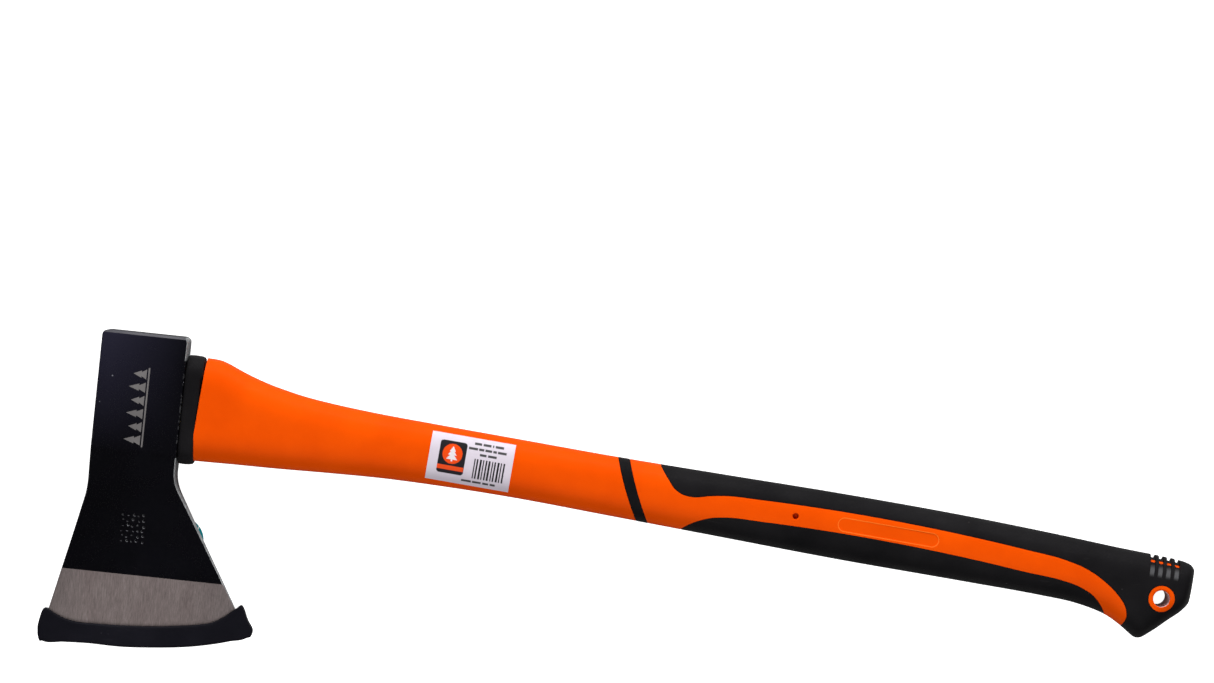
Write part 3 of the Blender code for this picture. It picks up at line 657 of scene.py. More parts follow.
def stadium(centre, length, width, sides=20):
    """A long outline with half-round ends."""
    turn = np.linspace(-math.pi / 2, math.pi / 2, sides)
    arc = np.column_stack([np.cos(turn), np.sin(turn)]) * width / 2
    reach = (length - width) / 2
    return np.concatenate([arc + (centre[0] + reach, centre[1]),
                           -arc + (centre[0] - reach, centre[1])])


def prism(name, outlines, bottoms, tops):
    """Solids between two heights over outlines of the same number of points."""
    points, faces = [], []
    for outline, bottom, top in zip(outlines, bottoms, tops):
        count, first = len(outline), len(points)
        centre = np.mean(outline, axis=0)
        levels = [(centre + 0 * outline, bottom), (outline, bottom), (outline, top),
                  (centre + 0 * outline, top)]
        points += [(px, py, z) for flat, z in levels for px, py in flat]
        faces.append(quads(4, count, ring=True) + first)
    return made(name, points, np.concatenate(faces))


# ---------------------------------------------------------------- head surface


def half_width(y, knee, flare, reach):
    """The head's half width on one side: straight, then a straight flare from the knee."""
    return HEAD_WIDTH / 2 + flare / (reach - knee) * ramp(-y - knee, KNEE_BLEND)


def toe_side(y):
    return -half_width(y, TOE_KNEE, TOE_FLARE, TOE_REACH)


def heel_side(y):
    return half_width(y, HEEL_KNEE, HEEL_FLARE, HEEL_REACH)


TOE = np.array([-HEAD_WIDTH / 2 - TOE_FLARE, -TOE_REACH])
HEEL = np.array([HEAD_WIDTH / 2 + HEEL_FLARE, -HEEL_REACH])
CHORD = float(np.hypot(*(HEEL - TOE)))
ALONG = (HEEL - TOE) / CHORD
OUTWARD = np.array([ALONG[1], -ALONG[0]])
ARC_RISE = math.sqrt(EDGE_RADIUS**2 - CHORD**2 / 4)
BEVEL_Y = -HEEL_REACH + BEVEL_HEIGHT


def bulge(a):
    """How far the edge's arc stands out beyond its chord, at a distance along it."""
    return np.sqrt(EDGE_RADIUS**2 - (np.clip(a, 0, CHORD) - CHORD / 2) ** 2) - ARC_RISE


def edge_y(x):
    """The cutting edge's y at x: the arc of EDGE_RADIUS through the two corners."""
    centre = (TOE + HEEL) / 2 - OUTWARD * ARC_RISE
    return centre[1] - np.sqrt(EDGE_RADIUS**2 - (x - centre[0]) ** 2)


def on_chord(a, b):
    """Plane coordinates of points given along the edge's chord and square to it."""
    return TOE[0] + a * ALONG[0] + b * OUTWARD[0], TOE[1] + a * ALONG[1] + b * OUTWARD[1]


def blade_half(x, y):
    """Half the blade's thickness in the ground bevel, which is a straight taper."""
    share = np.clip((BEVEL_Y - y) / (BEVEL_Y - edge_y(x)), 0, 1)
    return (BEVEL_THICKNESS + (EDGE_THICKNESS - BEVEL_THICKNESS) * share) / 2


def head_half(y):
    """Half the head's thickness above the bevel: flat cheeks, then a hollow taper, and a
    chamfer at the poll with its two corners eased."""
    blade_middle = (NECK_REACH - BEVEL_Y) / 2
    taper = [(CHEEK_REACH, HEAD_THICKNESS / 2),
             ((CHEEK_REACH + NECK_REACH) / 2, HEAD_THICKNESS / 2 - NECK_SHOULDER),
             (NECK_REACH, NECK_THICKNESS / 2),
             (blade_middle, (NECK_THICKNESS + BEVEL_THICKNESS) / 4 - BLADE_HOLLOW),
             (-BEVEL_Y, BEVEL_THICKNESS / 2)]
    below = smooth(-y, taper)
    chamfer = np.interp((POLL_REACH - y) / MM, [0, 0.07, 0.28, 1.25, 1.5, 1.8],
                        [1.6, 1.35, 1.15, 0.2, 0.05, 0]) * MM
    return np.where(-y < CHEEK_REACH, HEAD_THICKNESS / 2, below) - chamfer


def rounded_row(left, right, half, count=64):
    """The x and half thickness along a row whose ends turn down by a quarter circle."""
    turn = np.radians([0, 12, 28, 46, 66, 90])
    radius = np.minimum(SIDE_ROUNDING, half / 2)
    inward, lowered = radius * (1 - np.cos(turn)), radius * (1 - np.sin(turn))
    middle = np.linspace(left + radius, right - radius, count)[1:-1]
    x = np.concatenate([left + inward, middle, right - inward[::-1]])
    return x, half - np.concatenate([lowered, 0 * middle, lowered[::-1]])


def head_blank():
    """Straight rows down to the bevel, then rows that bend into the arc of the edge."""
    poll = POLL_REACH - np.array([0, .07, .28, .6, .95, 1.25, 1.5, 1.8, 2.2, 2.8, 3.4]) * MM
    rows = np.concatenate([poll, np.linspace(POLL_REACH - 5 * MM, -CHEEK_REACH, 30),
                           np.linspace(-CHEEK_REACH, BEVEL_Y, 48)[1:]])
    above = np.clip(rows - (POLL_REACH - POLL_CORNER), 0, POLL_CORNER)
    inset = POLL_CORNER - np.sqrt(POLL_CORNER**2 - above**2)
    grid = []
    for y, corner in zip(rows, inset):
        x, half = rounded_row(float(toe_side(y)) + corner, float(heel_side(y)) - corner,
                              float(head_half(y)))
        grid.append((x, np.full(len(x), y), half))
    for step in np.linspace(0, 1, 25)[1:]:
        left, right = (float(side(BEVEL_Y + (corner[1] - BEVEL_Y) * step))
                       for side, corner in ((toe_side, TOE), (heel_side, HEEL)))
        thickness = BEVEL_THICKNESS + (EDGE_THICKNESS - BEVEL_THICKNESS) * step
        x, half = rounded_row(left, right, thickness / 2)
        edge_x = TOE[0] + (HEEL[0] - TOE[0]) * (x - left) / (right - left)
        grid.append((x, BEVEL_Y + (edge_y(edge_x) - BEVEL_Y) * step, half))
    return shell("forged_head", *mirrored(*(np.array(part) for part in zip(*grid))))


def eye_ring(x, shrink):
    """The eye's section at x: a superellipse, wider towards the toe side."""
    share, side = section_ring(EYE_POINTS)
    draft = -EYE_DRAFT * x / (HEAD_WIDTH / 2)
    width = HEAD_THICKNESS / 2 - CHEEK_WALL + draft / 2 - shrink
    return xyz(x, (EYE_HEIGHT / 2 + draft - shrink) * share, width * superellipse(share) * side)


def core_ring(x, grow, count=EYE_POINTS):
    """The core's section where it passes x, in the head's frame."""
    share, side = section_ring(count)
    y = (CORE_HEIGHT / 2 + grow) * share
    cos, sin = math.cos(CORE_TURN), math.sin(CORE_TURN)
    along = (x + y * sin) / cos
    return xyz(x, along * sin + y * cos,
               (CORE_THICKNESS / 2 + grow) * superellipse(share) * side)


def eye_cutter():
    """A plug through the eye whose two mouths open by a small countersink."""
    end = HEAD_WIDTH / 2
    stations = [(-end - 2 * MM, -EYE_COUNTERSINK), (-end, -EYE_COUNTERSINK),
                (-end + EYE_COUNTERSINK, 0), (end - EYE_COUNTERSINK, 0),
                (end, -EYE_COUNTERSINK), (end + 2 * MM, -EYE_COUNTERSINK)]
    rings = [eye_ring(x, shrink) for x, shrink in stations]
    return rings_solid("eye_cutter", [rings[0] * (1, 0, 0), *rings, rings[-1] * (1, 0, 0)])


def stamp_cutter():
    """A patch of small round punch marks on the upper side of the blade: shallow balls in
    rows, each shifted a little by a sine of its number."""
    turn = circle(10)
    level = np.radians([-90, -60, -30, 0, 30, 60, 90])[:, None]
    points, faces = [], []
    for number in range(30):
        row, column = divmod(number, 5)
        radius = (0.62 + 0.16 * math.sin(number * 2.4)) * MM
        cx = STAMP[0] + ((column - 2) * 3.3 + 0.5 * math.sin(number * 1.7)) * MM
        cy = STAMP[1] + ((row - 2.5) * 3.3 + 0.5 * math.sin(number * 2.9)) * MM
        ball = xyz(cx + radius * 1.3 * np.cos(level) * np.cos(turn),
                   cy + radius * 1.3 * np.cos(level) * np.sin(turn),
                   float(head_half(cy)) + radius * 0.6 * np.sin(level))
        faces.append(quads(7, 10, ring=True) + 70 * number)
        points.append(ball.reshape(-1, 3))
    return made("stamp_cutter", np.concatenate(points), np.concatenate(faces))


def wear_and_punch_highlight(mesh):
    """Writes how close each point of the head is to one of its long edges, 0 to 1. Points
    sunk in the punch marks count as half worn, which paints them lighter: partly worn lacquer
    and partly a painted highlight in place of their gloss."""
    x, y, z = points_of(mesh).T
    z = np.abs(z - MID_Z)
    side = np.minimum(x - toe_side(y), heel_side(y) - x)
    end = POLL_REACH - y
    below = np.where(y < BEVEL_Y, blade_half(x, y), head_half(np.minimum(y, POLL_REACH - 2 * MM)))
    close = np.maximum(0, 1 - np.hypot(np.minimum(side, end), below - z) / (1.3 * MM))
    punched = (np.hypot(x - STAMP[0], y - STAMP[1]) < 14 * MM) & (below - z > 0.05 * MM)
    write_wear_and_highlight(mesh, np.where(punched, 0.5, close))


def build_head(lacquer, ground, scale, chamfer):
    """The head, lacquered but for the ground bevel, the heel side, painted grey as scale and as a
    painted reflection of the bright surroundings, and the chamfers of the poll."""
    head = head_blank()
    carve(head, eye_cutter(), stamp_cutter())
    finished(head, [lacquer, ground, scale, chamfer], "axe", "head_steel", "axe_head",
             sharp=30)
    mesh = head.data
    wear_and_punch_highlight(mesh)
    centres = centres_of(mesh)
    normals = np.array([face.normal for face in mesh.polygons])
    bare = (centres[:, 1] < BEVEL_Y) & (np.abs(normals[:, 2]) > 0.75)
    # the heel side's grey: scale, and a painted reflection of the bright surroundings
    painted_reflection_and_scale_side = ((normals[:, 0] > 0.45) & (centres[:, 0] > 0)
            & (np.abs(centres[:, 1]) > EYE_HEIGHT / 2 + 0.6 * MM))
    bevelled = (normals[:, 1] > 0.3) & (normals[:, 1] < 0.93)
    give_finishes(mesh, np.select([bare, painted_reflection_and_scale_side, bevelled], [1, 2, 3], 0))


def build_cheek_mark(etched):
    """A generic forest mark on the upper cheek: a row of fir trees, each two stacked
    triangles, on a ground line, turned to read along the poll."""
    outlines, tops = [], []
    for number in range(6):
        middle = -21.8 + 8.3 * number
        tall = 10.5 - 2.2 * (number % 2)
        for low, high, wide, top in ((0.0, 0.62, 6.4, 0.03), (0.38, 1.0, 4.6, 0.04)):
            outlines.append([(3.5 - tall * low, middle - wide / 2),
                             (3.5 - tall * low, middle + wide / 2),
                             (3.5 - tall * high, middle)])
            tops.append(top)
    outlines.append([(4.4, -26.0), (5.4, -26.0), (5.4, 24.0), (4.4, 24.0)])
    tops.append(0.03)
    mark = prism("cheek_mark", [np.array(outline) * MM for outline in outlines],
                 [MID_Z - 0.3 * MM] * len(tops), [MID_Z + top * MM for top in tops])
    finished(mark, [etched], "axe", "head_steel")


def build_bond(resin):
    """The resin: rings from the core's wall to the eye's, with its face sunk between them,
    back along the eye, and home along the core."""
    gap = 0.05 * MM
    end = HEAD_WIDTH / 2 - 0.9 * MM
    rings = []
    for share in np.linspace(0, 1, 13):
        x = -end + 1.1 * MM * (1 - (2 * share - 1) ** 4)
        rings.append(core_ring(x, gap) * (1 - share) + eye_ring(x, gap) * share)
    rings += [eye_ring(x, gap) for x in np.linspace(-end, end, 12)[1:]]
    rings += [core_ring(x, gap) for x in np.linspace(end, -end, 12)]
    finished(rings_solid("resin_bond", rings), [resin], "axe", "cured_resin", "eye_bond")


def build_core(fibre):
    core = bar("fibreglass_bar", CORE_HEIGHT, CORE_THICKNESS, CORE_START, CORE_END,
               ease=0.35 * MM)
    finished(core, [fibre], "axe", "glass_fibre", "fibreglass_core", turn=CORE_TURN)


def build_collar(rubber):
    """Rings across the collar: a low crown with eased edges. Its far edge steps out over
    the jacket round the back, as a moulded lip does."""
    share, side = section_ring(RING_POINTS)
    u = np.array([0, 0.02, 0.06, 0.13, 0.25, 0.4, 0.55, 0.7, 0.82, 0.9, 0.95, 0.985, 1])
    swell = np.interp(u, [0, 0.03, 0.13, 0.4, 0.6, 0.82, 0.95, 1],
                      [-1.3, -0.5, 0.0, 0.15, 0.1, -0.15, -0.6, -1.4])[:, None] * MM
    tall = EYE_HEIGHT / 2 + COLLAR_LIP + swell
    half = section_half(tall * (1 - np.abs(share)), COLLAR_THICKNESS / 2,
                        COLLAR_THICKNESS / 2 + swell) * side
    lip = (eased((tall * share - 19.5 * MM) / (3.5 * MM)) * 1.7
           + 0.35 * np.sin(tall * share / (7.5 * MM))) * MM
    x = COLLAR_START + u[:, None] * (COLLAR_WIDTH + lip)
    inner = [core_ring(x_in, 0.1 * MM, RING_POINTS) for x_in in COLLAR_START + u * COLLAR_WIDTH]
    collar = shell("rubber_collar", xyz(x, tall * share, half), np.array(inner), ring=True)
    finished(collar, [rubber], "axe", "collar_rubber", "eye_collar")


# ---------------------------------------------------------------- handle pieces


def build_jacket(plastic, bore_painted_light):
    """The jacket, cut out for the core, the band, the grips, the hang hole, the pin hole
    and the pad."""
    jacket = handle_blank()
    back_pocket = panel("back_pocket", *back_lines(SEAM), CLEAR, GRIP_DEPTH + SEAM, 0)
    carve(back_pocket, hang_plug("boss", HANG_BOSS / 2))
    hang_top, pin_top, pad_top = (float(skin_half(*spot)) for spot in (HANG, PIN_HOLE, PAD_CENTRE))
    bore, mouth = HANG_BORE / 2, HANG_BORE / 2 + 0.8 * MM
    pin, pin_mouth = PIN_HOLE_DIAMETER / 2, PIN_HOLE_DIAMETER / 2 + 0.3 * MM
    carve(jacket,
          bar("channel", CORE_HEIGHT + 2 * SEAM, CORE_THICKNESS + 2 * SEAM, 0, CORE_END + SEAM),
          band("groove", CLEAR, BAND_DEPTH + SEAM, SEAM, 0), back_pocket,
          panel("belly_pocket", *belly_lines(SEAM), CLEAR, GRIP_DEPTH + SEAM, 0),
          hang_plug("bore", mouth, (mouth, hang_top),
                    (bore + 0.25 * MM, hang_top - 0.35 * MM), (bore, hang_top - 1.0 * MM)),
          turned("pin", [0, pin, pin, pin_mouth, pin_mouth, 0],
                 [PIN_FLOOR, PIN_FLOOR, pin_top - 0.4 * MM, pin_top, pin_top + 5 * MM,
                  pin_top + 5 * MM], PIN_HOLE, 40))
    for grow, depth in ((0, PAD_DEPTH), (0.9 * MM, 0.14 * MM)):
        carve(jacket, prism("pad", [stadium(PAD_CENTRE, PAD_LENGTH + grow, PAD_WIDTH + grow)],
                            [pad_top - depth], [pad_top + 5 * MM]))
    # the hang bore's wall gets a pale pink finish: painted light, for the brightness seen in the
    # hole
    in_bore = np.hypot(*(centres_of(jacket.data)[:, :2] - HANG).T) < bore + 0.05 * MM
    finished(jacket, [plastic, bore_painted_light], "axe", "orange_plastic", "handle_jacket",
             turn=CORE_TURN)
    give_finishes(jacket.data, in_bore)


def paint_slot_highlights(mesh):
    """Writes how much painted highlight each point of the slots' floors gets, in place of the
    light that the floor catches: most in the lower middle of a slot, and nothing on the skin."""
    x, y, z = points_of(mesh).T
    shift = (HANDLE_REACH - SLOT_FROM_BUTT - x) / SLOT_PITCH + (SLOT_COUNT - 1) / 2
    beside = np.abs(shift - np.clip(np.round(shift), 0, SLOT_COUNT - 1)) * SLOT_PITCH
    rise = y - SLOT_BOTTOM
    sunk = (skin_half(x, y) - np.abs(z) > 0.2 * MM) & (beside < 0.42 * SLOT_WIDTH)
    write_wear_and_highlight(mesh, eased(rise / (2.5 * MM)) * (1 - eased((rise - 4.5 * MM) / (3.5 * MM))) * sunk)


def build_grips(back_rubber, belly_rubber):
    back = panel("back_grip", *back_lines(0), 0, GRIP_DEPTH, LIP)
    top = float(skin_half(*HANG))
    hole = HANG_BOSS / 2 + SEAM
    mouth = hole + 0.3 * MM
    carve(back, hang_plug("boss_hole", mouth, (mouth, top - 0.1 * MM), (hole, top - 0.5 * MM)),
          *(slot_cutter(number) for number in range(SLOT_COUNT)))
    paint_slot_highlights(back.data)
    finished(back, [back_rubber], "axe", "grip_rubber", "grip_back", turn=CORE_TURN)
    belly = panel("belly_grip", *belly_lines(0), 0, GRIP_DEPTH, LIP)
    finished(belly, [belly_rubber], "axe", "grip_rubber", "grip_belly", turn=CORE_TURN)


def build_band(rubber):
    ring = band("slanted_band", 0.05 * MM, BAND_DEPTH, 0, LIP)
    finished(ring, [rubber], "axe", "band_rubber", "ring_band", turn=CORE_TURN)


def within(u, v, left, right, low, high):
    return (u > left) & (u < right) & (v > low) & (v < high)


def words(u, v, low, tall, start, lengths):
    """A line of plain blocks, which stands for print: each has its length, in
    millimetres, and is a fixed space from the one before."""
    mask = np.zeros(u.shape, bool)
    for length in lengths:
        mask |= within(u, v, start, start + length, low, low + tall)
        start += length + 0.8
    return mask


def label_print(u, v):
    """The label's colours over millimetres from its lower left corner: a plain tree badge,
    lines of blocks and a row of bars."""
    paper, ink = np.array([0.70, 0.64, 0.72]), np.array([0.016, 0.015, 0.018])
    orange, white = np.array([0.86, 0.07, 0.004]), np.array([0.80, 0.76, 0.80])
    colour = paper + 0 * u[..., None]
    corner = np.hypot(np.maximum(np.abs(u - 14.6) - 6.6, 0), np.maximum(np.abs(v - 15.6) - 8.2, 0))
    colour[corner < 2.0] = ink
    disc = np.hypot(u - 14.6, v - 17.9)
    colour[disc < 6.3] = orange
    for low, high, wide in ((-3.6, 0.8, 3.6), (-0.8, 3.0, 2.8), (1.6, 4.8, 1.9)):
        rise = (v - 17.9 - low) / (high - low)
        colour[(rise > 0) & (rise < 1) & (np.abs(u - 14.6) < wide * (1 - rise))] = white
    colour[within(u, v, 14.0, 15.2, 13.0, 14.4)] = white
    colour[within(u, v, 6.2, 23.0, 7.6, 10.3)] = orange
    lines = ((25.9, 1.5, 27.4, (4.6, 5.2, 0.9, 5.4)), (22.6, 1.5, 24.0, (5.8, 3.2, 4.2, 2.2, 5.6)),
             (19.4, 1.5, 31.6, (4.4, 5.6)), (2.2, 1.1, 22.6, (6.2, 5.6, 4.0, 3.4)))
    for low, tall, start, lengths in lines:
        colour[words(u, v, low, tall, start, lengths)] = ink + 0.05
    left = 28.9
    for number in range(11):
        thick = 0.75 + 0.25 * ((number * 7 + 3) % 3)
        colour[within(u, v, left, left + thick, 4.9, 17.4)] = ink
        left += thick + 0.75 + 0.25 * (number % 2)
    return colour


def build_label(printed):
    """A sheet over the skin, with its print as a colour at each of its points."""
    columns, rows = round(LABEL_LENGTH / LABEL_STEP) + 1, round(LABEL_HEIGHT / LABEL_STEP) + 1
    u, v = np.meshgrid(np.linspace(0, LABEL_LENGTH, columns), np.linspace(0, LABEL_HEIGHT, rows))
    label = skin_shell("paper_label", LABEL_CENTRE[0] - LABEL_LENGTH / 2 + u,
                       LABEL_CENTRE[1] - LABEL_HEIGHT / 2 + v, 1, PAPER + PAPER_GAP,
                       -PAPER_GAP, weld=False)
    colour = np.ones((2, rows * columns, 4), np.float32)
    colour[0, :, :3] = label_print(u / MM, v / MM).reshape(-1, 3)
    colour[1, :, :3] = (0.70, 0.66, 0.72)
    shades = label.data.color_attributes.new("print", "FLOAT_COLOR", "POINT")
    shades.data.foreach_set("color", colour.ravel())
    finished(label, [printed], "axe", "label_paper", "handle_label", turn=CORE_TURN)


def build_sticker(film):
    """A disc under the blade's lower side, which stands out past the heel side: rings
    whose height follows the blade's taper."""
    slope = HEEL_FLARE / (HEEL_REACH - HEEL_KNEE)
    outward = np.array([1, slope]) / math.hypot(1, slope)
    side_y = -HEEL_KNEE - STICKER_BELOW_KNEE
    inward = STICKER_DIAMETER / 2 - STICKER_OVERHANG
    centre = np.array([float(heel_side(side_y)), side_y]) - inward * outward
    turn = circle(72)
    share = np.array([0, .2, .4, .6, .8, .93, .985, 1])
    radius = STICKER_DIAMETER / 2 * np.concatenate([share, share[::-1]])[:, None]
    x, y = centre[0] + radius * np.cos(turn), centre[1] + radius * np.sin(turn)
    sheet = np.repeat([PAPER, 0], len(share))[:, None]
    sticker = rings_solid("round_sticker", xyz(x, y, -head_half(y) - PAPER_GAP - sheet))
    finished(sticker, [film], "axe", "sticker_film", "blade_sticker")


# ---------------------------------------------------------------- guard


def guard_line(toe_points, heel_points, a):
    """Distance square to the chord of one side of the guard's outline."""
    points = [(x * MM, y * MM) for x, y in toe_points]
    points += [(CHORD + x * MM, y * MM) for x, y in heel_points]
    return smooth(a, points) + bulge(a)


def build_guard(plastic):
    """Rows from the guard's upper line to its foot, with all four sides rounded over, and
    the blade's taper cut out along the pull."""
    near = np.array([0, 0.08, 0.3, 0.65, 1.0, 1.3]) * MM
    first, last = -2.5 * MM, CHORD + 4.6 * MM
    a = np.concatenate([first + near, np.linspace(first + 1.8 * MM, last - 1.8 * MM, 190),
                        last - near[::-1]])
    top, foot = (guard_line(*pair, a) for pair in ((GUARD_TOP_TOE, GUARD_TOP_HEEL),
                                                   (GUARD_FOOT_TOE, GUARD_FOOT_HEEL)))
    span = foot - top
    inner = np.linspace(0, 1, 14)[1:-1, None] * (span - 2 * near[-1]) + near[-1]
    down = np.concatenate([near[:, None] + 0 * span, inner, span - near[::-1, None]])
    inset = np.minimum(down, span - down)
    half = (GUARD_THICKNESS / 2 - rounding(inset, GUARD_ROUNDING)
            - 0.8 * rounding(np.minimum(a - first, last - a), GUARD_ROUNDING))
    x, y = on_chord(a[None, :] + 0 * down, top + down)
    guard = shell("edge_guard", *mirrored(x, y, half))
    along = np.linspace(-GUARD_PLAY, CHORD + GUARD_PLAY, 60)
    depth = np.array([-GUARD_PLAY, 2 * MM, 8 * MM, 14 * MM, 22 * MM])[:, None]
    x, y = on_chord(along + 0 * depth, bulge(along) - depth)
    slot = shell("slot", *mirrored(x, y, blade_half(np.clip(x, TOE[0], HEEL[0]), y) + GUARD_PLAY))
    carve(guard, slot)
    finished(guard, [plastic], "guard", "guard_plastic", "blade_guard")


# ---------------------------------------------------------------- shader groups


class Nodes:
    """A node tree to build in. A colour is given as its red, green and blue."""

    def __init__(self, tree):
        self.tree = tree

    def feed(self, socket, value):
        """Links another node's output to a socket, or sets its value."""
        if isinstance(value, bpy.types.NodeSocket):
            self.tree.links.new(value, socket)
        else:
            socket.default_value = (*value, 1.0) if socket.type == "RGBA" else value

    def add(self, kind, inputs=None, **settings):
        """The outputs of a new node, with its settings, and its inputs by name or number."""
        node = self.tree.nodes.new("ShaderNode" + kind)
        for key, value in settings.items():
            setattr(node, key, value)
        for key, value in (inputs or {}).items():
            self.feed(node.inputs[key], value)
        return node.outputs

    def use(self, group, **inputs):
        return self.add("Group", inputs, node_tree=group)

    def calculate(self, operation, *values):
        return self.add("Math", dict(enumerate(values)), operation=operation)[0]

    def product(self, a, b):
        return self.calculate("MULTIPLY", a, b)

    def points(self, stretch=(1, 1, 1)):
        """The piece's own points, stretched along X, Y and Z."""
        return self.add("Mapping", {"Vector": self.add("TexCoord")["Object"],
                                    "Scale": stretch})[0]

    def noise(self, scale, detail, stretch=(1, 1, 1), **more):
        return self.add("TexNoise", {"Vector": self.points(stretch), "Scale": scale,
                                     "Detail": detail, **more})[0]

    def fade(self, value, low, high, to_low=0.0, to_high=1.0):
        """A value brought from one range to another, and held at its ends."""
        return self.add("MapRange", {0: value, 1: low, 2: high, 3: to_low, 4: to_high})[0]

    def blend(self, mask, a, b, kind="MIX"):
        """The colour a, turned into b as far as the mask goes, or multiplied by it."""
        return self.add("Mix", {0: mask, 6: a, 7: b}, data_type="RGBA", blend_type=kind)[2]


def new_group(name, inputs, outputs):
    """An empty group: the nodes in it, the values that enter it and those that leave."""
    tree = bpy.data.node_groups.new(name, "ShaderNodeTree")
    for way, sockets in (("INPUT", inputs), ("OUTPUT", outputs)):
        for socket in sockets.split():
            kind = "Color" if socket in ("Color", "Dark", "Light") else "Float"
            tree.interface.new_socket(name=socket, in_out=way, socket_type="NodeSocket" + kind)
    enter, leave = tree.nodes.new("NodeGroupInput"), tree.nodes.new("NodeGroupOutput")
    return Nodes(tree), enter.outputs, leave.inputs


def make_drift():
    """Two colours mixed by slow clouds."""
    nodes, enter, leave = new_group("colour_drift", "Scale Dark Light", "Color")
    mask = nodes.fade(nodes.noise(enter["Scale"], 4.0, Roughness=0.6), 0.32, 0.68)
    nodes.feed(leave["Color"], nodes.blend(mask, enter["Dark"], enter["Light"]))
    return nodes.tree


def make_grain():
    """Moulded grain: fine noise as a height, and a roughness that wanders between two
    values with a slower noise."""
    nodes, enter, leave = new_group("moulded_grain", "Scale Smoothest Roughest",
                                    "Height Roughness")
    nodes.feed(leave["Height"], nodes.noise(enter["Scale"], 3.0, Roughness=0.7))
    slow = nodes.noise(38.0, 5.0, Roughness=0.65)
    nodes.feed(leave["Roughness"],
               nodes.fade(slow, 0.3, 0.7, enter["Smoothest"], enter["Roughest"]))
    return nodes.tree


def make_marks():
    """Rub marks: long thin noise laid across the piece, kept only where a slow cloud
    lets it through."""
    nodes, enter, leave = new_group("rub_marks", "Scale Amount", "Mask")
    lines = nodes.noise(enter["Scale"], 6.0, (0.22, 2.6, 1.0), Roughness=0.75, Distortion=0.6)
    both = nodes.product(nodes.fade(lines, 0.60, 0.72),
                         nodes.fade(nodes.noise(26.0, 3.0), 0.50, 0.66))
    nodes.feed(leave["Mask"], nodes.product(both, enter["Amount"]))
    return nodes.tree


def make_specks():
    """Small pale specks: the cores of random cells, most of them dropped."""
    nodes, enter, leave = new_group("dust_specks", "Scale Size", "Mask")
    cells = nodes.add("TexVoronoi", {"Vector": nodes.points(), "Scale": enter["Scale"]})
    core = nodes.calculate("LESS_THAN", cells["Distance"], enter["Size"])
    keep = nodes.calculate("GREATER_THAN", cells["Color"], 0.82)
    nodes.feed(leave["Mask"], nodes.product(core, keep))
    return nodes.tree


DRIFT, GRAIN, MARKS, SPECKS = make_drift(), make_grain(), make_marks(), make_specks()


# ---------------------------------------------------------------- finishes


class Finish(Nodes):
    """A new material and the nodes in it, with the even values of its shader."""

    def __init__(self, name, even=None):
        self.material = bpy.data.materials.new(name)
        self.material.use_nodes = True
        super().__init__(self.material.node_tree)
        self.shader = self.tree.nodes["Principled BSDF"].inputs
        self.put(even or {})

    def put(self, inputs):
        for key, value in inputs.items():
            self.feed(self.shader[key], value)

    def drift(self, scale, dark, light):
        return self.use(DRIFT, Scale=scale, Dark=dark, Light=light)["Color"]

    def own_points(self):
        return self.add("TexCoord")["Object"]

    def wear_and_highlight(self):
        return self.add("Attribute", attribute_name="wear_and_highlight")["Fac"]

    def raised(self, height, distance, strength=1.0):
        """The finish done: its height made a bump, and the material given back."""
        self.put({"Normal": self.add("Bump", {"Height": height, "Distance": distance,
                                              "Strength": strength})[0]})
        return self.material

    def grained(self, colour, scale, smoothest, roughest, height):
        """The finish done with a colour and moulded grain."""
        grain = self.use(GRAIN, Scale=scale, Smoothest=smoothest, Roughest=roughest)
        self.put({"Base Color": colour, "Roughness": grain["Roughness"]})
        return self.raised(grain["Height"], height)


def pad_line_painted_highlight(finish):
    """A mask of the line round the shallow pad: how far a point is from the pad's middle
    stretch, compared with half its width. Only the labelled face has the pad. The line is
    painted lighter, as a painted highlight where the pad's sunk wall catches the light."""
    own = finish.add("Mapping", {"Vector": finish.own_points(), "Rotation": (0, 0, CORE_TURN)},
                     vector_type="TEXTURE")[0]
    x, y, z = finish.add("SeparateXYZ", {0: own})
    away = finish.calculate("ABSOLUTE", finish.calculate("SUBTRACT", x, PAD_CENTRE[0]))
    beyond = finish.calculate("SUBTRACT", away, (PAD_LENGTH - PAD_WIDTH) / 2)
    spot = finish.add("CombineXYZ", {0: finish.calculate("MAXIMUM", beyond, 0.0),
                                     1: finish.calculate("SUBTRACT", y, PAD_CENTRE[1])})[0]
    away = finish.add("VectorMath", {0: spot}, operation="LENGTH")["Value"]
    line = finish.calculate("COMPARE", away, PAD_WIDTH / 2, PAD_HIGHLIGHT_WIDTH)
    return finish.product(line, finish.calculate("GREATER_THAN", z, MID_Z))


def moulded(name, dark, light, smoothest, roughest, grain_scale, grain_height, marks=0.0,
            mark_colour=None, dust=0.0, lip=None, slot_highlight=None, plain=None):
    """A moulded plastic or rubber: drifting colour, rub marks, dust and fine grain."""
    finish = Finish(name, plain)
    colour = finish.drift(24.0, dark, light)
    if marks:
        colour = finish.blend(finish.use(MARKS, Scale=90.0, Amount=marks)["Mask"], colour,
                              mark_colour)
    if dust:
        colour = finish.blend(finish.use(SPECKS, Scale=220.0, Size=dust)["Mask"], colour,
                              mark_colour)
    # lip: a lighter line round the pad, a painted highlight of its wall
    if lip:
        colour = finish.blend(pad_line_painted_highlight(finish), colour, lip)
    # a lighter grey painted on the slot floors: a painted highlight
    if slot_highlight:
        colour = finish.blend(finish.wear_and_highlight(), colour, slot_highlight)
    return finish.grained(colour, grain_scale, smoothest, roughest, grain_height)


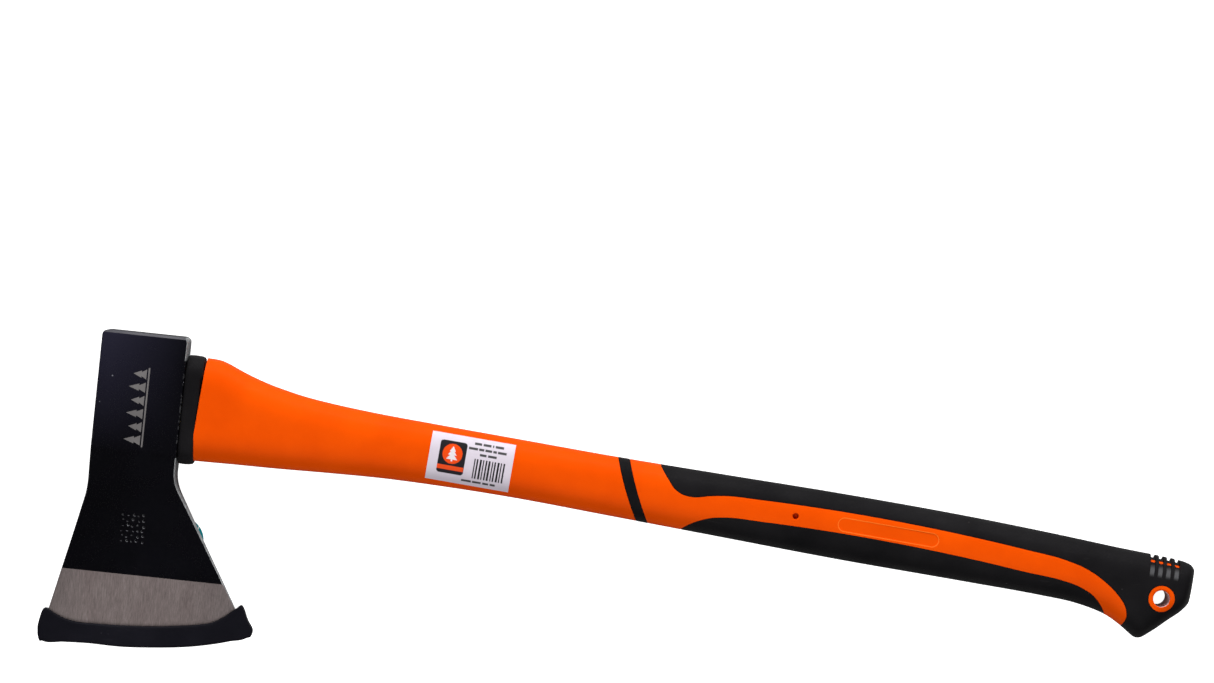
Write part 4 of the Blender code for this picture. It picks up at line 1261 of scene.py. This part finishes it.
def black_lacquer():
    """Black lacquer over forged steel: rolling unevenness, a painted bluish reflection and a few
    pale specks towards the poll, grey steel rubbed through on the long edges, and punch marks
    lightened as worn lacquer and as a painted highlight."""
    smoothest, roughest = 0.20, 0.36
    finish = Finish("black_lacquer", {"Coat Roughness": 0.16, "Specular IOR Level": 0.35})
    colour = finish.drift(14.0, (0.0014, 0.0013, 0.0020), (0.0030, 0.0028, 0.0045))
    x, y, _ = finish.add("SeparateXYZ", {0: finish.own_points()})
    near_poll = finish.fade(y, -0.03, 0.045)
    # painted reflection: the lacquer is painted bluish and lighter towards the poll, in place of a
    # reflection of the surroundings
    painted_reflection = finish.product(near_poll, finish.fade(x, 0.03, -0.02))
    colour = finish.blend(painted_reflection, colour, (0.017, 0.016, 0.030))
    speck = finish.product(finish.use(SPECKS, Scale=170.0, Size=0.085)["Mask"], near_poll)
    colour = finish.blend(speck, colour, (0.32, 0.32, 0.36))
    broken = finish.fade(finish.noise(420.0, 4.0), 0.42, 0.62)
    # grey steel worn through on the long edges, and in the punch marks a lighter grey that is
    # partly a painted highlight
    rub_and_punch_highlight = finish.fade(finish.product(finish.wear_and_highlight(), broken), 0.25, 0.75, 0.0, 0.5)
    colour = finish.blend(rub_and_punch_highlight, colour, (0.16, 0.16, 0.17))
    grain = finish.use(GRAIN, Scale=95.0, Smoothest=smoothest, Roughest=roughest)
    coat = finish.fade(grain["Roughness"], smoothest, roughest, 0.35, 0.1)
    finish.put({"Base Color": colour, "Metallic": rub_and_punch_highlight, "Roughness": grain["Roughness"],
                "Coat Weight": coat})
    return finish.raised(grain["Height"], 0.12 * MM)


def ground_steel():
    """Steel from the grinding belt: hair lines square to the edge, slow darker bands along
    it, one small stain, darker towards the toe and heel."""
    finish = Finish("ground_steel", {"Anisotropic": 0.4})
    hair = finish.noise(2100.0, 5.0, (1.0, 0.018, 1.0), Roughness=0.8)
    bands = finish.noise(95.0, 4.0, (1.0, 0.25, 1.0), Roughness=0.65)
    colour = finish.blend(finish.fade(hair, 0.28, 0.72), (0.16, 0.132, 0.128),
                          (0.42, 0.35, 0.34))
    slow = finish.blend(finish.fade(bands, 0.35, 0.7), (0.72, 0.70, 0.70), (1.0, 1.0, 1.0))
    colour = finish.blend(1.0, colour, slow, kind="MULTIPLY")
    points = finish.own_points()
    x = finish.add("SeparateXYZ", {0: points})["X"]
    ends = finish.calculate("ADD", finish.fade(x, -0.066, -0.02, 0.55, 0.0),
                            finish.fade(x, 0.04, 0.082, 0.0, 0.35))
    colour = finish.blend(ends, colour, (0.07, 0.066, 0.068))
    away = finish.add("VectorMath", {0: points, 1: STAIN}, operation="DISTANCE")["Value"]
    colour = finish.blend(finish.fade(away, 0.5 * MM, 1.1 * MM, 0.8, 0.0), colour,
                          (0.045, 0.05, 0.045))
    finish.put({"Base Color": colour, "Roughness": finish.fade(hair, 0.3, 0.7, 0.34, 0.52),
                "Metallic": finish.fade(bands, 0.3, 0.7, 0.30, 0.42)})
    return finish.raised(hair, 0.03 * MM, 0.6)


def scale_and_painted_reflection():
    """The grey of the sheared sides: blotches of scale over duller steel, lighter than the lacquer
    also as a painted reflection of the bright surroundings at a grazing angle.
    """
    finish = Finish("scale_and_painted_reflection", {"Metallic": 0.2, "Specular IOR Level": 0.3})
    colour = finish.drift(330.0, (0.16, 0.168, 0.175), (0.46, 0.48, 0.49))
    return finish.grained(colour, 420.0, 0.4, 0.62, 0.1 * MM)


def glass_fibre():
    """Pultruded glass fibre: streaks along the bar, and cut fibre ends as small cells."""
    finish = Finish("glass_fibre")
    streak = finish.noise(900.0, 4.0, (0.03, 1.0, 1.0), Roughness=0.7)
    cells = finish.add("TexVoronoi", {"Vector": finish.points((0.2, 1.0, 1.0)),
                                      "Scale": 1100.0})["Distance"]
    colour = finish.blend(finish.fade(streak, 0.3, 0.7), (0.30, 0.25, 0.08),
                          (0.66, 0.58, 0.27))
    colour = finish.blend(finish.fade(cells, 0.2, 0.75), colour, (0.20, 0.15, 0.05))
    finish.put({"Base Color": colour, "Roughness": finish.fade(cells, 0.1, 0.7, 0.35, 0.6)})
    return finish.raised(cells, -0.06 * MM)


def printed_paper():
    """Coated paper: the print's own colours, with the faint tone of the paper under it."""
    finish = Finish("printed_paper", {"Specular IOR Level": 0.45})
    ink = finish.add("Attribute", attribute_name="print")["Color"]
    tone = finish.drift(60.0, (0.95, 0.94, 0.95), (1.0, 1.0, 1.0))
    colour = finish.blend(1.0, ink, tone, kind="MULTIPLY")
    return finish.grained(colour, 700.0, 0.32, 0.45, 0.02 * MM)


def teal_film():
    """Printed film: teal, with two paler rings."""
    finish = Finish("teal_film", {"Coat Weight": 0.2})
    flat = finish.add("VectorMath", {0: finish.own_points(), 1: (*RINGS_CENTRE, 0.0)},
                      operation="SUBTRACT")[0]
    flat = finish.add("VectorMath", {0: flat, 1: (1, 1, 0)}, operation="MULTIPLY")[0]
    away = finish.add("VectorMath", {0: flat}, operation="LENGTH")["Value"]
    colour = finish.drift(40.0, (0.0, 0.16, 0.19), (0.0, 0.22, 0.25))
    for radius in RINGS_RADII:
        ring = finish.calculate("COMPARE", away, radius, RINGS_WIDTH / 2)
        colour = finish.blend(ring, colour, (0.55, 0.66, 0.66))
    return finish.grained(colour, 500.0, 0.25, 0.4, 0.015 * MM)


# ---------------------------------------------------------------- surroundings


def build_floor():
    """A very large pale floor, as bright to the camera as a lit table, which throws only
    a little of that light back on the axe."""
    mesh = bpy.data.meshes.new("floor")
    corners = [(-FLOOR_REACH, -FLOOR_REACH, 0), (FLOOR_REACH, -FLOOR_REACH, 0),
               (FLOOR_REACH, FLOOR_REACH, 0), (-FLOOR_REACH, FLOOR_REACH, 0)]
    mesh.from_pydata(corners, [], [(0, 1, 2, 3)])
    floor = bpy.data.objects.new("floor", mesh)
    floor.location.z = cad_box[0].z
    bpy.context.scene.collection.objects.link(floor)
    finish = Finish("pale_floor", {"Roughness": 0.9, "Specular IOR Level": 0.0})
    tone = finish.drift(3.0, (0.80, 0.80, 0.80), (0.82, 0.82, 0.82))
    camera_sees = finish.add("LightPath")["Is Camera Ray"]
    finish.put({"Emission Color": tone,
                "Base Color": finish.blend(camera_sees, (0.3, 0.3, 0.3), tone),
                "Emission Strength": finish.fade(camera_sees, 0, 1, FLOOR_LIT, FLOOR_SEEN)})
    mesh.materials.append(finish.material)


def build_world():
    """White where the camera sees it, and otherwise dark but for a soft light low on the
    poll side."""
    world = bpy.data.worlds.new("studio")
    bpy.context.scene.world = world
    world.use_nodes = True
    nodes = Nodes(world.node_tree)
    nodes.tree.nodes.clear()
    way = nodes.add("SeparateXYZ", {0: nodes.add("TexCoord")["Generated"]})
    strength = nodes.fade(way["Y"], 0.25, 0.95, WORLD_OVERHEAD, WORLD_BACK)
    lit, seen = (nodes.add("Background", {"Color": (1, 1, 1), "Strength": level})[0]
                 for level in (strength, 1.0))
    both = nodes.add("MixShader", {0: nodes.add("LightPath")["Is Camera Ray"], 1: lit,
                                   2: seen})
    leave = nodes.tree.nodes.new("ShaderNodeOutputWorld")
    nodes.feed(leave.inputs["Surface"], both[0])


def add_light(name, place_at, size, power):
    """A flat lamp over the axe, which lights it but doesn't show in its gloss."""
    light = bpy.data.lights.new(name, "AREA")
    light.shape = "RECTANGLE"
    light.size, light.size_y = size
    light.energy = power
    lamp = bpy.data.objects.new(name, light)
    bpy.context.scene.collection.objects.link(lamp)
    look_along(lamp, place_at, LIGHTS_AIM, (0, 1, 0.1))
    lamp.visible_glossy = False


def look_along(thing, place_at, aim, up):
    """Stands a camera or lamp at a point, looking at another, with its top towards 'up'."""
    place_at, aim, up = (np.array(v, float) for v in (place_at, aim, up))
    back = (place_at - aim) / np.linalg.norm(place_at - aim)
    right = np.cross(up, back)
    right /= np.linalg.norm(right)
    top = np.cross(back, right)
    rows = np.eye(4)
    rows[:3, 0], rows[:3, 1], rows[:3, 2], rows[:3, 3] = right, top, back, place_at
    thing.matrix_world = Matrix(rows)


def build_camera():
    """Three metres over the axe, looking down, with a long lens."""
    data = bpy.data.cameras.new("view")
    data.sensor_width = 36.0
    data.lens = 36.0 * CAMERA_HEIGHT / VIEW_WIDTH
    data.clip_start, data.clip_end = 0.1, 100.0
    camera = bpy.data.objects.new("view", data)
    bpy.context.scene.collection.objects.link(camera)
    look_along(camera, (*CAMERA_OVER, MID_Z + CAMERA_HEIGHT), (*VIEW_CENTRE, MID_Z), VIEW_UP)
    bpy.context.scene.camera = camera


# ---------------------------------------------------------------- everything


def main():
    lacquer = black_lacquer()
    # the heel side's grey finish is partly a painted reflection of the surroundings
    build_head(lacquer, ground_steel(), scale_and_painted_reflection(),
               moulded("rubbed_chamfer", (0.045, 0.044, 0.052), (0.10, 0.098, 0.11), 0.4, 0.6,
                       300.0, 0.04 * MM))
    build_cheek_mark(moulded("etched_steel", (0.16, 0.15, 0.15), (0.28, 0.265, 0.265), 0.45,
                             0.6, 900.0, 0.03 * MM, plain={"Metallic": 0.3}))
    build_bond(moulded("cured_resin", (0.10, 0.075, 0.035), (0.22, 0.17, 0.09), 0.22, 0.4,
                       160.0, 0.2 * MM, dust=0.1, mark_colour=(0.4, 0.36, 0.25),
                       plain={"Coat Weight": 0.3}))
    build_core(glass_fibre())
    soft_black = {"dark": (0.0060, 0.0056, 0.0064), "light": (0.0105, 0.0098, 0.0108),
                  "smoothest": 0.42, "roughest": 0.58, "grain_height": 0.05 * MM,
                  "plain": {"Specular IOR Level": 0.18}}
    build_collar(moulded("collar_rubber", grain_scale=520.0, marks=0.5,
                         mark_colour=(0.035, 0.035, 0.040), **soft_black))
    build_jacket(moulded("orange_plastic", (0.78, 0.070, 0.0003), (0.86, 0.084, 0.0006), 0.36,
                         0.46, 420.0, 0.035 * MM, marks=0.12, mark_colour=(0.95, 0.22, 0.03),
                         # the pad's lighter outline is a painted highlight
                         lip=(0.95, 0.19, 0.02), plain={"Specular IOR Level": 0.07}),
                 # pale pink bore wall: painted light, standing in for the light reflected inside
                 # the hole
                 moulded("painted_light_bore", (0.80, 0.60, 0.59), (0.90, 0.74, 0.73), 0.3, 0.5,
                         420.0, 0.05 * MM))
    build_band(moulded("band_rubber", grain_scale=640.0, **soft_black))
    build_grips(moulded("back_grip_rubber", grain_scale=640.0, marks=0.5,
                        mark_colour=(0.055, 0.05, 0.052), dust=0.07,
                        # the slot floors' lighter grey is a painted highlight
                        slot_highlight=(0.075, 0.075, 0.079), **soft_black),
                moulded("belly_grip_rubber", grain_scale=640.0, marks=0.5,
                        mark_colour=(0.05, 0.046, 0.048), dust=0.07, **soft_black))
    build_label(printed_paper())
    build_sticker(teal_film())
    build_guard(moulded("guard_plastic", (0.0045, 0.0043, 0.0068), (0.0080, 0.0077, 0.0115),
                        0.42, 0.58, 480.0, 0.05 * MM, marks=0.5, mark_colour=(0.04, 0.04, 0.05),
                        dust=0.08, plain={"Specular IOR Level": 0.22}))
    build_floor()
    build_world()
    add_light("key", KEY_AT, KEY_SIZE, KEY_POWER)
    add_light("overhead", OVERHEAD_AT, OVERHEAD_SIZE, OVERHEAD_POWER)
    build_camera()
    bpy.context.scene.view_settings.view_transform = "Standard"


main()
